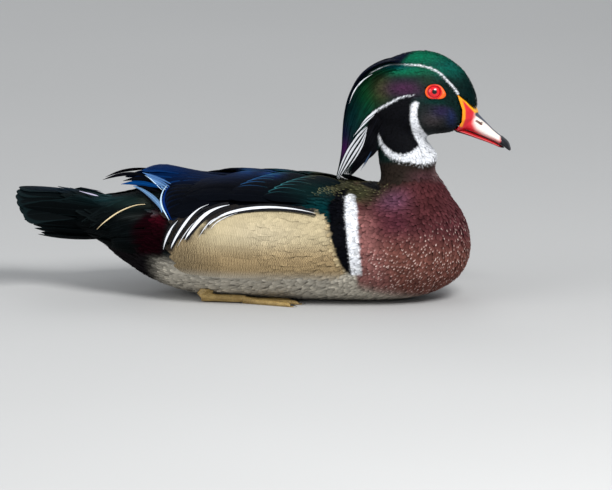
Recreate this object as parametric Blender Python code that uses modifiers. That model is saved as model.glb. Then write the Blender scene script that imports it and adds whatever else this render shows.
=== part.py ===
"""Wood duck drake, life size, resting on its belly with its feet tucked under.

Metres, +Z up, +X towards the bill, +Y to the bird's left. The origin is on the
floor, under the middle of the bird. Sizes in the tables are millimetres.
"""

import math
from itertools import combinations

import bmesh
import bpy
import numpy as np
from mathutils import Quaternion, Vector
from mathutils.bvhtree import BVHTree

MM = 0.001
GAP = 0.33  # between two nodes that touch

# Driving dimensions
TAIL_TIP_X = -191.6
FLESH_TRIANGLES = 2600
FEATHER_SHARE = 0.6  # of the triangles that the feathers make where they cross
BODY_AXIS_Z = 50.0  # the height of the line that girth angles are measured round
TAIL_CUT_X = -108.0
NECK_CUT_Z = 84.0
HEAD_CUT_Z = 117.0
EYE_X = 134.6
EYE_Z = 163.6
EYE_RADIUS = 7.9
EYE_BULGE = 1.7  # how far the eye stands out of the face
NOSTRIL_AT = (169.5, 5.0, 138.2)
SIDES = {"right": -1, "left": 1}

# The body from tail root to breast: x, top, bottom, half width, height of the widest line
BODY_ROWS = [
    (-166, 64, 64, 0, 64),
    (-162, 69, 57, 8, 64),
    (-147, 73, 50, 17, 64),
    (-127, 76, 40, 27, 62),
    (-105, 79, 23, 40, 57),
    (-80, 84, 9, 53, 52),
    (-45, 89, 0.5, 64, 47),
    (0, 91, -1.5, 68, 45),
    (45, 90, -1.5, 68, 45),
    (85, 88, -1, 65, 46),
    (112, 87, 1, 60, 47),
    (130, 85, 5, 52, 47),
    (143, 79, 11, 41, 46),
    (152, 69, 18, 29, 44),
    (158, 56, 28, 16, 42),
    (161, 41, 41, 0, 41),
]
# The neck from the breast up into the head: z, front, back, half width, x of the widest line
NECK_ROWS = [
    (46, 118, 118, 0, 118),
    (52, 136, 98, 26, 118),
    (66, 146, 88, 38, 118),
    (77, 146, 88, 35, 117),
    (87, 141, 90.5, 28.5, 115),
    (95, 135.5, 91.5, 23, 113),
    (102, 132, 90.5, 20.5, 111),
    (108, 135.5, 89.5, 20.5, 112),
    (115, 133.5, 88.5, 20.5, 111),
    (122, 126.5, 88, 20, 108),
    (132, 125, 87, 19, 106),
    (146, 124, 90, 15, 106),
    (156, 106, 106, 0, 106),
]
# The head from the nape to the forehead: x, top, bottom, half width, height of the widest line
HEAD_ROWS = [
    (83, 160, 160, 0, 160),
    (86, 177, 143, 11, 156),
    (95, 185.5, 130, 17.5, 148),
    (109, 191.8, 126.5, 20.5, 144),
    (125, 194, 127.5, 20.5, 143),
    (138, 191.4, 129, 18.5, 143),
    (149, 185.2, 130.5, 14.5, 144),
    (158, 176, 133, 11, 146),
    (164, 164, 137.5, 7.5, 149),
    (167, 151, 151, 0, 151),
]
# The upper bill from inside the face to the tip: x, top, bottom, half width, height of the widest line
BILL_ROWS = [
    (150, 147, 147, 0, 147),
    (152, 155, 134.2, 8.3, 141),
    (158, 152, 132.3, 8.6, 139),
    (165, 145.8, 129.8, 8.3, 136),
    (172, 138.6, 127.2, 7.6, 132.5),
    (179, 131.8, 124.3, 7.2, 128.5),
    (185, 127.2, 121.2, 6.9, 124.5),
    (189.5, 123.4, 117.6, 5.2, 120.5),
    (191.2, 119, 116.6, 2.6, 117.6),
    (191.6, 117.4, 117.4, 0, 117.4),
]
# The lower bill: x, top, bottom, half width, height of the widest line
JAW_ROWS = [
    (147, 133, 133, 0, 133),
    (149, 134.5, 130.6, 6.6, 132.5),
    (158, 131.9, 128.2, 6.9, 130),
    (168, 128.2, 124.9, 6.3, 126.5),
    (178, 124.2, 121.4, 5.6, 122.8),
    (184, 121, 118.9, 4.6, 119.9),
    (187, 118.6, 118.6, 0, 118.6),
]
# The crest's edges in side view, from the crown to the tip that lies on the back: x, z
CREST_OUTER = [(126, 181), (112, 186.5), (100, 187), (90, 184.2), (81, 179), (74, 171.5), (69, 161.5),
               (66, 150), (64.5, 138), (63.8, 126), (63, 115), (61, 105), (58.2, 96.2)]
CREST_INNER = [(112, 161), (105, 147), (98, 134), (93, 122), (87, 113), (79, 106), (72, 99), (65.5, 95)]


def clear_scene():
    for obj in list(bpy.data.objects):
        bpy.data.objects.remove(obj, do_unlink=True)


def new_collection(name):
    found = bpy.data.collections.new(name)
    bpy.context.scene.collection.children.link(found)
    return found


def material(name, colour, roughness, metallic=0.0):
    made = bpy.data.materials.new(name)
    made.use_nodes = True
    shader = made.node_tree.nodes["Principled BSDF"]
    shader.inputs["Base Color"].default_value = (*colour, 1)
    shader.inputs["Roughness"].default_value = roughness
    shader.inputs["Metallic"].default_value = metallic
    made.diffuse_color = (*colour, 1)
    return made


def curve_rows(rows, places):
    """The rows of a table read at fractional places, on one smooth curve through all of them."""
    rows = np.array(rows, float)
    slopes = np.gradient(rows, axis=0)
    first = np.clip(np.floor(places).astype(int), 0, len(rows) - 2)
    t = (places - first)[:, None]
    a, b, da, db = rows[first], rows[first + 1], slopes[first], slopes[first + 1]
    return (
        (2 * t**3 - 3 * t**2 + 1) * a
        + (t**3 - 2 * t**2 + t) * da
        + (3 * t**2 - 2 * t**3) * b
        + (t**3 - t**2) * db
    )


def curve_point(rows, share):
    return curve_rows(rows, np.array([share * (len(rows) - 1)]))[0]


def face_outward(shape):
    """Turns the faces of a closed bmesh outward."""
    shape.normal_update()
    bmesh.ops.recalc_face_normals(shape, faces=shape.faces)
    if shape.calc_volume(signed=True) < 0:
        bmesh.ops.reverse_faces(shape, faces=shape.faces)


def object_of(mesh_data, name, collection):
    """A new object from a bmesh, which this call frees."""
    mesh = bpy.data.meshes.new(name)
    mesh_data.to_mesh(mesh)
    mesh_data.free()
    obj = bpy.data.objects.new(name, mesh)
    collection.objects.link(obj)
    return obj


def loft(name, rows, sides, rings, collection, upper=1.0, lower=1.0, upright=False):
    """A sphere whose rings are drawn out to the sections of a table. upper and lower above 1 make
    a section's half pointed, and below 1 square. An upright loft climbs along Z."""
    ball = bmesh.new()
    bmesh.ops.create_uvsphere(ball, u_segments=sides, v_segments=rings, radius=1)
    for vert in ball.verts:
        latitude = math.acos(max(-1, min(1, vert.co.z))) / math.pi
        at, high, low, half, wide = curve_point(rows, latitude)
        turn = math.atan2(vert.co.y, vert.co.x)
        reach = math.hypot(vert.co.x, vert.co.y)
        across, along = (math.sin(turn), math.cos(turn)) if reach > 1e-6 else (0, 0)
        power = upper if along > 0 else lower
        y = max(half, 0) * math.copysign(abs(across) ** power, across)
        far = high if along > 0 else low
        z = wide + (far - wide) * abs(along)
        vert.co = Vector((z, y, at) if upright else (at, y, z)) * MM
    face_outward(ball)
    return object_of(ball, name, collection)


def baked(obj, name, collection):
    """A plain mesh object of what obj looks like with its modifiers. obj is removed."""
    graph = bpy.context.evaluated_depsgraph_get()
    mesh = bpy.data.meshes.new_from_object(obj.evaluated_get(graph))
    mesh.transform(obj.matrix_world)
    made = bpy.data.objects.new(name, mesh)
    collection.objects.link(made)
    bpy.data.objects.remove(obj, do_unlink=True)
    made.name = name
    mesh.name = name
    return made


def copy_of(obj, name, collection):
    made = bpy.data.objects.new(name, obj.data.copy())
    collection.objects.link(made)
    return made


def grown(obj, by, name, collection):
    """A copy of a closed mesh, larger by a few tenths of a millimetre all round."""
    made = copy_of(obj, name, collection)
    shape = bmesh.new()
    shape.from_mesh(made.data)
    shape.normal_update()
    moves = [(vert, vert.normal * by * MM) for vert in shape.verts]
    for vert, move in moves:
        vert.co += move
    shape.to_mesh(made.data)
    shape.free()
    made.hide_render = True
    made.display_type = "WIRE"
    return made


def sliced(obj, point, normal):
    """Cuts off what lies on the side that the normal points to, and closes the cut."""
    shape = bmesh.new()
    shape.from_mesh(obj.data)
    cut = bmesh.ops.bisect_plane(
        shape,
        geom=shape.verts[:] + shape.edges[:] + shape.faces[:],
        dist=1e-6,
        plane_co=Vector(point) * MM,
        plane_no=normal,
        clear_outer=True,
    )
    rim = [edge for edge in cut["geom_cut"] if isinstance(edge, bmesh.types.BMEdge)]
    bmesh.ops.triangle_fill(shape, edges=rim, use_beauty=True)
    face_outward(shape)
    shape.to_mesh(obj.data)
    shape.free()
    return obj


def islands(shape):
    """The connected closed surfaces of a bmesh, as sets of faces."""
    left = set(shape.faces)
    found = []
    while left:
        pile = [left.pop()]
        island = set(pile)
        while pile:
            face = pile.pop()
            for edge in face.edges:
                for other in edge.link_faces:
                    if other in left:
                        left.remove(other)
                        island.add(other)
                        pile.append(other)
        found.append(island)
    return found


def drop_twins(shape):
    """Removes each pair of triangles that lie back to back on the same three corners."""
    seen, twins = {}, []
    for face in shape.faces:
        corners = frozenset(face.verts)
        if corners in seen:
            twins += [seen.pop(corners), face]
        else:
            seen[corners] = face
    bmesh.ops.delete(shape, geom=twins, context="FACES")


def swap_diagonal(shape, edge):
    """Gives two level triangles that share an edge their other diagonal, where no edge lies there yet."""
    u, v = edge.verts
    for first, second in combinations(list(edge.link_faces), 2):
        a = next(vert for vert in first.verts if vert not in edge.verts)
        b = next(vert for vert in second.verts if vert not in edge.verts)
        if a is b or first.normal.dot(second.normal) < 0.999 or any(b in link.verts for link in a.link_edges):
            continue
        line = b.co - a.co
        turns = [line.cross(end.co - a.co).dot(first.normal) for end in (u, v)]
        if turns[0] * turns[1] >= 0:
            continue
        corners = list(first.verts)
        if corners[(corners.index(u) + 1) % 3] is not v:
            u, v = v, u
        bmesh.ops.delete(shape, geom=[first, second], context="FACES_ONLY")
        shape.faces.new((a, u, b))
        shape.faces.new((b, v, a))
        return


def keep_largest(obj):
    """Keeps only the largest closed surface of a mesh, in triangles with two faces on every edge."""
    shape = bmesh.new()
    shape.from_mesh(obj.data)
    found = sorted(islands(shape), key=lambda island: -sum(face.calc_area() for face in island))
    scraps = [face for island in found[1:] for face in island]
    bmesh.ops.delete(shape, geom=scraps, context="FACES")
    bmesh.ops.triangulate(shape, faces=shape.faces)
    shape.normal_update()
    drop_twins(shape)
    for edge in [edge for edge in shape.edges if len(edge.link_faces) > 2]:
        if edge.is_valid:
            swap_diagonal(shape, edge)
    shape.to_mesh(obj.data)
    shape.free()


def boolean(obj, operation, others):
    """Joins or cuts obj with the objects of a list, which are then removed unless they are cutters."""
    group = bpy.data.collections.new("operands")
    bpy.context.scene.collection.children.link(group)
    for other in others:
        group.objects.link(other)
    step = obj.modifiers.new(operation.lower(), "BOOLEAN")
    step.operation = operation
    step.operand_type = "COLLECTION"
    step.collection = group
    step.solver = "MANIFOLD"
    home = obj.users_collection[0]
    made = baked(obj, obj.name, home)
    for other in others:
        group.objects.unlink(other)
    bpy.data.collections.remove(group)
    return made


def crosses_itself(mesh):
    shape = bmesh.new()
    shape.from_mesh(mesh)
    shape.faces.ensure_lookup_table()
    tree = BVHTree.FromBMesh(shape)
    found = not all(edge.is_manifold for edge in shape.edges)
    for first, second in tree.overlap(tree):
        if first < second and not found:
            found = not set(shape.faces[first].verts) & set(shape.faces[second].verts)
    shape.free()
    return found


def thinned(obj, share):
    """obj with this share of its triangles, or a few more if it would otherwise cross itself."""
    keep_largest(obj)
    home = obj.users_collection[0]
    while share < 1:
        made = copy_of(obj, obj.name, home)
        fewer = made.modifiers.new("fewer", "DECIMATE")
        fewer.ratio = share
        made = baked(made, obj.name, home)
        if not crosses_itself(made.data):
            bpy.data.objects.remove(obj, do_unlink=True)
            return made
        bpy.data.objects.remove(made, do_unlink=True)
        share += 0.04
    return obj


def fuse(name, pieces, cutters, finish, part, side=0, share=1.0):
    """One closed node from pieces whose roots overlap, cut clear of its neighbours. side keeps it on
    its own side of the bird, and share is how much of its triangles the union keeps."""
    base, rest = pieces[0], pieces[1:]
    if rest:
        base = boolean(base, "UNION", rest)
    for piece in rest:
        bpy.data.objects.remove(piece, do_unlink=True)
    if share < 1:
        base = thinned(base, share)
    if side:
        sliced(base, (0, side * GAP / 2, 0), (0, -side, 0))
    if cutters:
        base = boolean(base, "DIFFERENCE", cutters)
    node = baked(base, name, part)
    keep_largest(node)
    node.data.materials.clear()
    node.data.materials.append(finish)
    for polygon in node.data.polygons:
        polygon.use_smooth = True
    node.data.set_sharp_from_angle(angle=math.radians(35))
    return node


class Skin:
    """The outside of the whole bird's flesh, for placing feathers on it."""

    def __init__(self, obj):
        shape = bmesh.new()
        shape.from_mesh(obj.data)
        self.tree = BVHTree.FromBMesh(shape)
        shape.free()

    def at(self, x, girth, lift=0.0):
        """The point at x and at a girth angle from the top, in degrees to the left, raised by lift,
        and the outward direction there."""
        turn = math.radians(girth)
        out = Vector((0, math.sin(turn), math.cos(turn)))
        start = Vector((x, 0, BODY_AXIS_Z)) * MM
        hit, normal, _, _ = self.tree.ray_cast(start + out * 0.4, -out)
        return hit / MM + normal * lift, normal.copy()

    def side_at(self, x, z):
        """How far out the flesh is on the left at x and z, and its outward direction there."""
        hit, normal, _, _ = self.tree.ray_cast(Vector((x * MM, 0.4, z * MM)), Vector((0, -1, 0)))
        return hit.y / MM, normal.copy()

    def eye_centre(self, side):
        depth, out = self.side_at(EYE_X, EYE_Z)
        centre = Vector((EYE_X, depth, EYE_Z)) - out * (EYE_RADIUS - EYE_BULGE)
        return Vector((centre.x, side * centre.y, centre.z))


def feather(
    collection, points, faces, half, thick=0.8, curl=0.0, peak=0.55, sharp=2.0, root=0.55, rows=3, roll=0.0
):
    """A closed vane through three points, root to tip. faces are its outward directions at the root
    and the tip, half its greatest half width, curl how fast its edges fall away, sharp how pointed
    its tip is, and roll how far it turns about its own length, in degrees."""
    first, middle, last = (Vector(p) for p in points)
    flat = bmesh.new()
    bmesh.ops.create_grid(flat, x_segments=rows, y_segments=2 if curl else 1, size=0.5)
    for vert in flat.verts:
        t = math.sin((vert.co.x + 0.5) * math.pi / 2)
        side = vert.co.y * 2
        spine = first * (2 * t - 1) * (t - 1) + middle * 4 * t * (1 - t) + last * t * (2 * t - 1)
        along = (first * (4 * t - 3) + middle * 4 * (1 - 2 * t) + last * (4 * t - 1)).normalized()
        face = (faces[0] * (1 - t) + faces[1] * t).normalized()
        face.rotate(Quaternion(along, math.radians(roll)))
        across = face.cross(along).normalized()
        up = along.cross(across)
        swell = root + (1 - root) * min(1, t / peak)
        taper = 1 - max(0, (t - peak) / (1 - peak)) ** sharp
        wide = max(half * swell * taper, 0.5)
        vert.co = (spine + across * side * wide - up * curl * (side * wide) ** 2) * MM
    bmesh.ops.triangulate(flat, faces=flat.faces, quad_method="FIXED")
    return sheet_solid(flat, thick, 0, collection)


def sheet_solid(flat, thick, offset, collection):
    """A bmesh sheet made into a closed solid, its triangles alike on both faces."""
    sheet = object_of(flat, "vane", collection)
    wall = sheet.modifiers.new("thickness", "SOLIDIFY")
    wall.thickness = thick * MM
    wall.offset = offset
    return baked(sheet, "vane", collection)


def make_flesh(scrap):
    """The whole bird's flesh in one smooth closed mesh: body, neck and head."""
    pieces = [
        loft("body", BODY_ROWS, 48, 56, scrap, upper=0.92, lower=0.95),
        loft("neck", NECK_ROWS, 36, 36, scrap, upright=True),
        loft("head", HEAD_ROWS, 40, 36, scrap, upper=1.45, lower=0.9),
    ]
    whole = boolean(pieces[0], "UNION", pieces[1:])
    for piece in pieces[1:]:
        bpy.data.objects.remove(piece, do_unlink=True)
    even = whole.modifiers.new("even", "REMESH")
    even.mode = "VOXEL"
    even.voxel_size = 2.2 * MM
    soft = whole.modifiers.new("soft", "SMOOTH")
    soft.factor = 0.5
    soft.iterations = 14
    whole = baked(whole, "flesh", scrap)
    fewer = whole.modifiers.new("fewer", "DECIMATE")
    fewer.ratio = FLESH_TRIANGLES / (2 * len(whole.data.polygons))
    fewer.use_symmetry = True
    fewer.symmetry_axis = "Y"
    whole = baked(whole, "flesh", scrap)
    return sliced(whole, (0, 0, 0), (0, 0, -1))


def make_torso(flesh, finish, part, scrap):
    torso = copy_of(flesh, "torso_piece", scrap)
    sliced(torso, (115, 0, NECK_CUT_Z - GAP / 2), (0.3, 0, 1))
    sliced(torso, (TAIL_CUT_X + GAP / 2, 0, 0), (-1, 0, 0))
    return fuse("torso", [torso], [], finish, part)


def make_neck(flesh, finish, part, scrap):
    neck = copy_of(flesh, "neck_piece", scrap)
    sliced(neck, (115, 0, NECK_CUT_Z + GAP / 2), (-0.3, 0, -1))
    sliced(neck, (111, 0, HEAD_CUT_Z - GAP / 2), (0.25, 0, 1))
    return fuse("neck", [neck], [], finish, part)


def wedge(points, collection, half=30):
    """A plate across the bird, from its outline in side view."""
    curve = bpy.data.curves.new("wedge", "CURVE")
    curve.dimensions = "2D"
    curve.fill_mode = "BOTH"
    curve.extrude = half * MM
    line = curve.splines.new("POLY")
    line.points.add(len(points) - 1)
    line.use_cyclic_u = True
    for spot, (x, z) in zip(line.points, points):
        spot.co = (x * MM, z * MM, 0, 1)
    plate = bpy.data.objects.new("wedge", curve)
    collection.objects.link(plate)
    plate.rotation_euler = (math.pi / 2, 0, 0)
    bpy.context.view_layer.update()
    plate = baked(plate, "wedge", collection)
    shape = bmesh.new()
    shape.from_mesh(plate.data)
    bmesh.ops.remove_doubles(shape, verts=shape.verts, dist=1e-6)
    face_outward(shape)
    shape.to_mesh(plate.data)
    shape.free()
    return plate


def ball(name, centre, radii, collection, sides=16, rings=10):
    made = bmesh.new()
    bmesh.ops.create_uvsphere(made, u_segments=sides, v_segments=rings, radius=1)
    for vert in made.verts:
        vert.co = Vector([(c + r * v) * MM for c, r, v in zip(centre, radii, vert.co)])
    return object_of(made, name, collection)


def make_bill(flesh, finish, part, scrap):
    """The upper bill, with the lobes that run up the face beside the forehead feathers."""
    face_line = [(151, 133.5), (155.2, 140), (155.8, 149), (151.8, 161), (159, 154.5), (167.5, 144.6),
                 (168, 160), (210, 160), (210, 100), (151, 100)]
    lobes = grown(flesh, 0.9, "lobes", scrap)
    lobes.hide_render = False
    bill = loft("bill", BILL_ROWS, 24, 22, scrap, upper=0.85, lower=0.7)
    joined = boolean(lobes, "UNION", [bill])
    joined = boolean(joined, "INTERSECT", [wedge(face_line, scrap)])
    nostrils = [
        ball("nostril", (NOSTRIL_AT[0], side * NOSTRIL_AT[1], NOSTRIL_AT[2]), (2.3, 1.4, 1.0), scrap, 10, 6)
        for side in SIDES.values()
    ]
    return fuse("bill_upper", [joined], nostrils, finish, part, share=0.5)


def make_jaw(bill, finish, part, scrap):
    jaw = loft("jaw", JAW_ROWS, 14, 10, scrap, upper=0.8, lower=0.9)
    return fuse("bill_lower", [jaw], [grown(bill, GAP, "bill_room", scrap)], finish, part)


def lid_ring(side, skin, collection):
    """The bare red rim round the eye, drawn out to a point in front."""
    rim = bpy.data.curves.new("lid", "CURVE")
    rim.dimensions = "3D"
    rim.bevel_depth = 1.15 * MM
    rim.bevel_resolution = 1
    line = rim.splines.new("POLY")
    count = 14
    line.points.add(count - 1)
    line.use_cyclic_u = True
    for k, spot in enumerate(line.points):
        turn = 2 * math.pi * k / count
        reach = 6.0 + 2.6 * max(0, math.cos(turn + 0.35)) ** 6
        x = EYE_X + reach * math.cos(turn)
        z = EYE_Z + 0.86 * reach * math.sin(turn)
        depth, _ = skin.side_at(x, z)
        spot.co = (x * MM, side * (depth + 0.2) * MM, z * MM, 1)
    ring = bpy.data.objects.new("lid", rim)
    collection.objects.link(ring)
    bpy.context.view_layer.update()
    return baked(ring, "lid", collection)


def make_head(flesh, skin, bill, jaw, finish, part, scrap):
    head = copy_of(flesh, "head_piece", scrap)
    sliced(head, (111, 0, HEAD_CUT_Z + GAP / 2), (-0.25, 0, -1))
    lids = [lid_ring(side, skin, scrap) for side in SIDES.values()]
    sockets = [
        ball("socket", skin.eye_centre(side), [EYE_RADIUS + GAP] * 3, scrap, 16, 10)
        for side in SIDES.values()
    ]
    room = [grown(bill, GAP, "bill_room", scrap), grown(jaw, GAP, "jaw_room", scrap)]
    return fuse("head", [head] + lids, sockets + room, finish, part)


def make_eye(label, side, skin, finish, part, scrap):
    eye = ball("eye_ball", skin.eye_centre(side), [EYE_RADIUS] * 3, scrap, 14, 9)
    return fuse("eye_" + label, [eye], [], finish, part)


def crest_place(share, depth):
    """A point of the crest in side view: share from root to tip, depth from the outer to the inner edge."""
    outer = curve_point(CREST_OUTER, share)
    inner = curve_point(CREST_INNER, share)
    x, z = outer * (1 - depth) + inner * depth
    return Vector((x, 0, z))


def crest_plume(side, start, end, depth, depth_end, half, spread, collection):
    """One flat, tapered plume that follows the crest from the crown round to the back."""
    places = []
    for share in (start, (start + end) / 2, end):
        along = (share - start) / (end - start)
        spot = crest_place(share, depth + (depth_end - depth) * along)
        sunk = 0.45 if share == start else 1
        spot.y = side * (spread * sunk * (1 - share) ** 0.55 + 1.2)
        places.append(spot)
    tilt = math.radians(min(90, depth * 170))
    faces = []
    for share in (start, end):
        way = (crest_place(share + 0.04, depth) - crest_place(share - 0.04, depth)).normalized()
        out = Vector((0, -1, 0)).cross(way)
        faces.append((out * math.cos(tilt) + Vector((0, side, 0)) * math.sin(tilt)).normalized())
    form = {"thick": 1.5, "curl": 0.02, "peak": 0.45, "sharp": 1.2, "root": 0.7, "rows": 4}
    return feather(collection, places, faces, half, **form)


def make_crest(flesh_room, finish, part, scrap):
    """The long crest: a core behind the skull, and plumes in layers from the crown to the back."""
    core_rows = [
        (190.5, 112, 112, 0, 112),
        (187, 126, 96, 9, 110),
        (179, 121, 82, 13, 100),
        (166, 112, 71, 14.5, 92),
        (150, 104, 66.5, 14.5, 86),
        (136, 98, 65.5, 13, 82),
        (124, 92, 66.5, 10.5, 79),
        (114, 78, 78, 0, 78),
    ]
    pieces = [loft("crest_core", core_rows, 20, 16, scrap, upright=True)]
    for side in SIDES.values():
        for start, end, depth, depth_end, half, spread in (
            (0.02, 0.62, 0.0, 0.0, 6.0, 5.5),
            (0.16, 0.97, 0.03, 0.0, 5.0, 6.0),
            (0.08, 0.82, 0.10, 0.04, 6.5, 11.0),
            (0.22, 1.0, 0.22, 0.28, 5.0, 11.5),
            (0.10, 0.86, 0.38, 0.36, 7.0, 15.5),
            (0.30, 0.97, 0.55, 0.58, 5.0, 14.5),
            (0.14, 0.88, 0.66, 0.70, 6.5, 17.0),
            (0.24, 0.88, 0.86, 0.88, 6.0, 16.0),
        ):
            pieces.append(crest_plume(side, start, end, depth, depth_end, half, spread, scrap))
    return fuse("crest", pieces, [flesh_room], finish, part, share=FEATHER_SHARE)


def pad(skin, side, edges, thick, collection, sunk=2.5):
    """A low cushion on the body between two girth angles, which change along x: x, upper, lower."""
    rows = np.array(edges, float)
    top = bmesh.new()
    bmesh.ops.create_grid(top, x_segments=8, y_segments=4, size=0.5)
    for vert in top.verts:
        u, v = vert.co.x + 0.5, vert.co.y + 0.5
        at, upper, lower = curve_rows(rows, np.array([u * (len(rows) - 1)]))[0]
        crown = (1 - (2 * u - 1) ** 4) * (1 - (2 * v - 1) ** 4)
        spot, _ = skin.at(at, side * (upper + (lower - upper) * v), (0.5 + 0.5 * crown) * thick)
        vert.co = spot * MM
    bmesh.ops.triangulate(top, faces=top.faces, quad_method="FIXED")
    top.normal_update()
    if sum(face.normal.y for face in top.faces) * side < 0:
        bmesh.ops.reverse_faces(top, faces=top.faces)
    return sheet_solid(top, thick + sunk, -1, collection)


def laid(skin, side, start, end, lifts, collection, half, roll=7, **shape):
    """A feather that lies on the body from one place to another, each an x and a girth angle. Its
    lower edge lies over the next feather."""
    middle = [(a + b) / 2 for a, b in zip(start, end)]
    spots = [skin.at(x, side * girth, lift) for (x, girth), lift in zip((start, middle, end), lifts)]
    points = [spot for spot, _ in spots]
    faces = [spots[0][1], spots[2][1]]
    return feather(collection, points, faces, half, curl=0.009, roll=side * roll, **shape)


def make_wing(label, side, skin, flesh_room, finish, part, scrap):
    """A folded wing: scapulars over tertials over the secondaries, with the primaries behind."""
    edges = [(64, 44, 52), (57, 24, 57), (38, 12, 59.5), (12, 6, 60.5), (-15, 4, 61), (-42, 4, 63),
             (-60, 5, 66), (-66, 12, 60)]
    pieces = [pad(skin, side, edges, 2.4, scrap)]
    for k in range(6):  # scapulars
        start = (50 - 4 * k, 16 + 8 * k)
        end = (-12 - 6 * k, 11 + 8 * k)
        pieces.append(laid(skin, side, start, end, (0.4, 5.6, 4.4), scrap, 7.6, sharp=2.4))
    for k in range(4):  # greater coverts above the secondaries
        start = (-2 - 4 * k, 36 + 6 * k)
        end = (-44 - 3 * k, 35 + 8.5 * k)
        pieces.append(laid(skin, side, start, end, (0.2, 4.6, 4.2), scrap, 6.8, sharp=3))
    for k in range(5):  # secondaries, whose squared tips run down the flank
        start = (-36 - 2 * k, 33 + 6.5 * k)
        end = (-73 + 1.8 * k, 29 + 10.5 * k)
        pieces.append(laid(skin, side, start, end, (0.0, 3.7, 2.9), scrap, 7.2, peak=0.8, sharp=4))
    rise = 2.2 if side > 0 else 0.0
    longest = -126 if side > 0 else -115
    for k in range(4):  # tertials, raised over the rump
        root, out = skin.at(-4 - 6 * k, side * (14 + 6 * k), 1.0)
        middle, _ = skin.at(-44 - 3 * k, side * (10 + 7 * k), 7.2)
        tip = Vector((-93 + 6 * k, side * (7 + 5.6 * k), 97.2 - 3.1 * k + rise * 0.3))
        faces = [out, Vector((0, side * (0.25 + 0.2 * k), 1))]
        pieces.append(feather(scrap, [root, middle, tip], faces, 7.2, curl=0.02, sharp=2.2, roll=side * 6))
    for k in range(5):  # primaries
        root, out = skin.at(-44, side * (11 + 5 * k), 1.0)
        middle, _ = skin.at(-72 + 1.5 * k, side * (11 + 6.5 * k), 5.0)
        tip = Vector((longest + 6.5 * k, side * (4.4 + 2.6 * k), 86.5 + rise * 1.6 - 2.0 * k))
        middle.z += 2.0 - 0.8 * k + rise
        faces = [out, Vector((0, side * 0.5, 1))]
        pieces.append(feather(scrap, [root, middle, tip], faces, 3.8, peak=0.4, sharp=1.3, roll=side * 12))
    return fuse("wing_" + label, pieces, [flesh_room], finish, part, side, FEATHER_SHARE)


def make_flank(label, side, skin, rooms, finish, part, scrap):
    """The flank pocket below the folded wing, with its long squared plumes."""
    edges = [(62, 72, 84), (58, 65, 98), (46, 61.5, 110), (15, 61, 115), (-15, 61.5, 113), (-38, 64, 108),
             (-50, 72, 98)]
    pieces = [pad(skin, side, edges, 2.9, scrap)]
    for k in range(4):  # the short row along the wing's edge
        start = (46 - 18 * k, 70)
        end = (16 - 18.5 * k, 67)
        pieces.append(laid(skin, side, start, end, (0.2, 4.4, 3.6), scrap, 5.4, sharp=3, roll=4))
    for reach, first, lift in ((-74, -22, 3.2), (-58, -6, 4.4)):
        for k in range(4):
            start = (first + 4 * k, 76 + 10 * k)
            end = (reach + 8 * math.sin(k * 0.7), 71 + 10.5 * k)
            lifts = (0.0, lift + 0.6, lift)
            pieces.append(laid(skin, side, start, end, lifts, scrap, 7.4, peak=0.75, sharp=4))
    return fuse("flank_" + label, pieces, rooms, finish, part, share=FEATHER_SHARE)


def make_tail(flesh, rooms, finish, part, scrap):
    """The tail: coverts above and below a fan of twelve squared feathers held like a low tent."""
    core = copy_of(flesh, "tail_core", scrap)
    sliced(core, (TAIL_CUT_X - GAP / 2, 0, 0), (1, 0, 0))
    pieces = [core]
    for k in range(12):
        place = (k - 5.5) / 5.5
        layer = 1.1 * (5 - k if k < 6 else k - 5)
        drop = 12 * abs(place) ** 1.6
        root = Vector((-122, 11 * place, 72.5 - 0.4 * drop - layer))
        middle = Vector((-156, 22 * place, 79 - 0.8 * drop - layer))
        tip = Vector((TAIL_TIP_X + 11 * abs(place) ** 2.2, 31 * place, 80 - drop - layer))
        face = Vector((0.05, 0.45 * place, 1)).normalized()
        pieces.append(feather(scrap, [root, middle, tip], [face, face], 7.8, curl=0.012, peak=0.7, sharp=3.5))
    for k in range(7):  # uppertail coverts
        place = (k - 3) / 3
        layer = 1.1 * (3 - k if k < 4 else k - 2.5)
        root = Vector((-112, 12 * place, 76 - 4 * place**2 - layer))
        middle = Vector((-132, 16 * place, 81.2 - 3 * place**2 - layer))
        tip = Vector((-154 + 10 * abs(place), 18 * place, 82.2 - 4 * place**2 - layer))
        face = Vector((0, 0.6 * place, 1)).normalized()
        pieces.append(feather(scrap, [root, middle, tip], [face, face], 6.5, curl=0.015, sharp=1.8))
    for k in range(9):  # shaggy coverts under the tail
        place = (k - 4) / 4
        layer = 1.1 * (4 - k if k < 5 else k - 3.5)
        reach = -175 + 13 * abs(place) + 10 * (k % 2)
        root = Vector((-117, 18 * place, 47.5 + 4 * abs(place) + layer))
        middle = Vector((-141, 21 * place, 41 + 4 * abs(place) + layer))
        tip = Vector((reach, 23 * place, 44.5 + 3 * abs(place) - 2.5 * (k % 2) + layer))
        face = Vector((-0.1, 0.7 * place, -1)).normalized()
        pieces.append(feather(scrap, [root, middle, tip], [face, face], 6.6, curl=0.015, sharp=1.4))
    return fuse("tail", pieces, rooms, finish, part, share=FEATHER_SHARE)


def make_rump_plume(label, side, skin, rooms, finish, part, scrap):
    """The drooping plumes beside the rump: fine, long feathers that arch down and back."""
    pieces = []
    for k in range(5):
        girth = 50 + 9 * k
        root, out = skin.at(-82 - 1.5 * k, side * girth, -0.8)
        middle, _ = skin.at(-104, side * (girth + 4), 3.0)
        tip = Vector((-133 + 4.5 * k, side * (28.5 - 0.6 * k), 57 - 5.8 * k))
        last = Vector((-0.2, side, 0.25)).normalized()
        pieces.append(feather(scrap, [root, middle, tip], [out, last], 6.4, curl=0.015, sharp=1.3, root=0.75))
    return fuse("rump_plumes_" + label, pieces, rooms, finish, part, share=FEATHER_SHARE)


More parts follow.
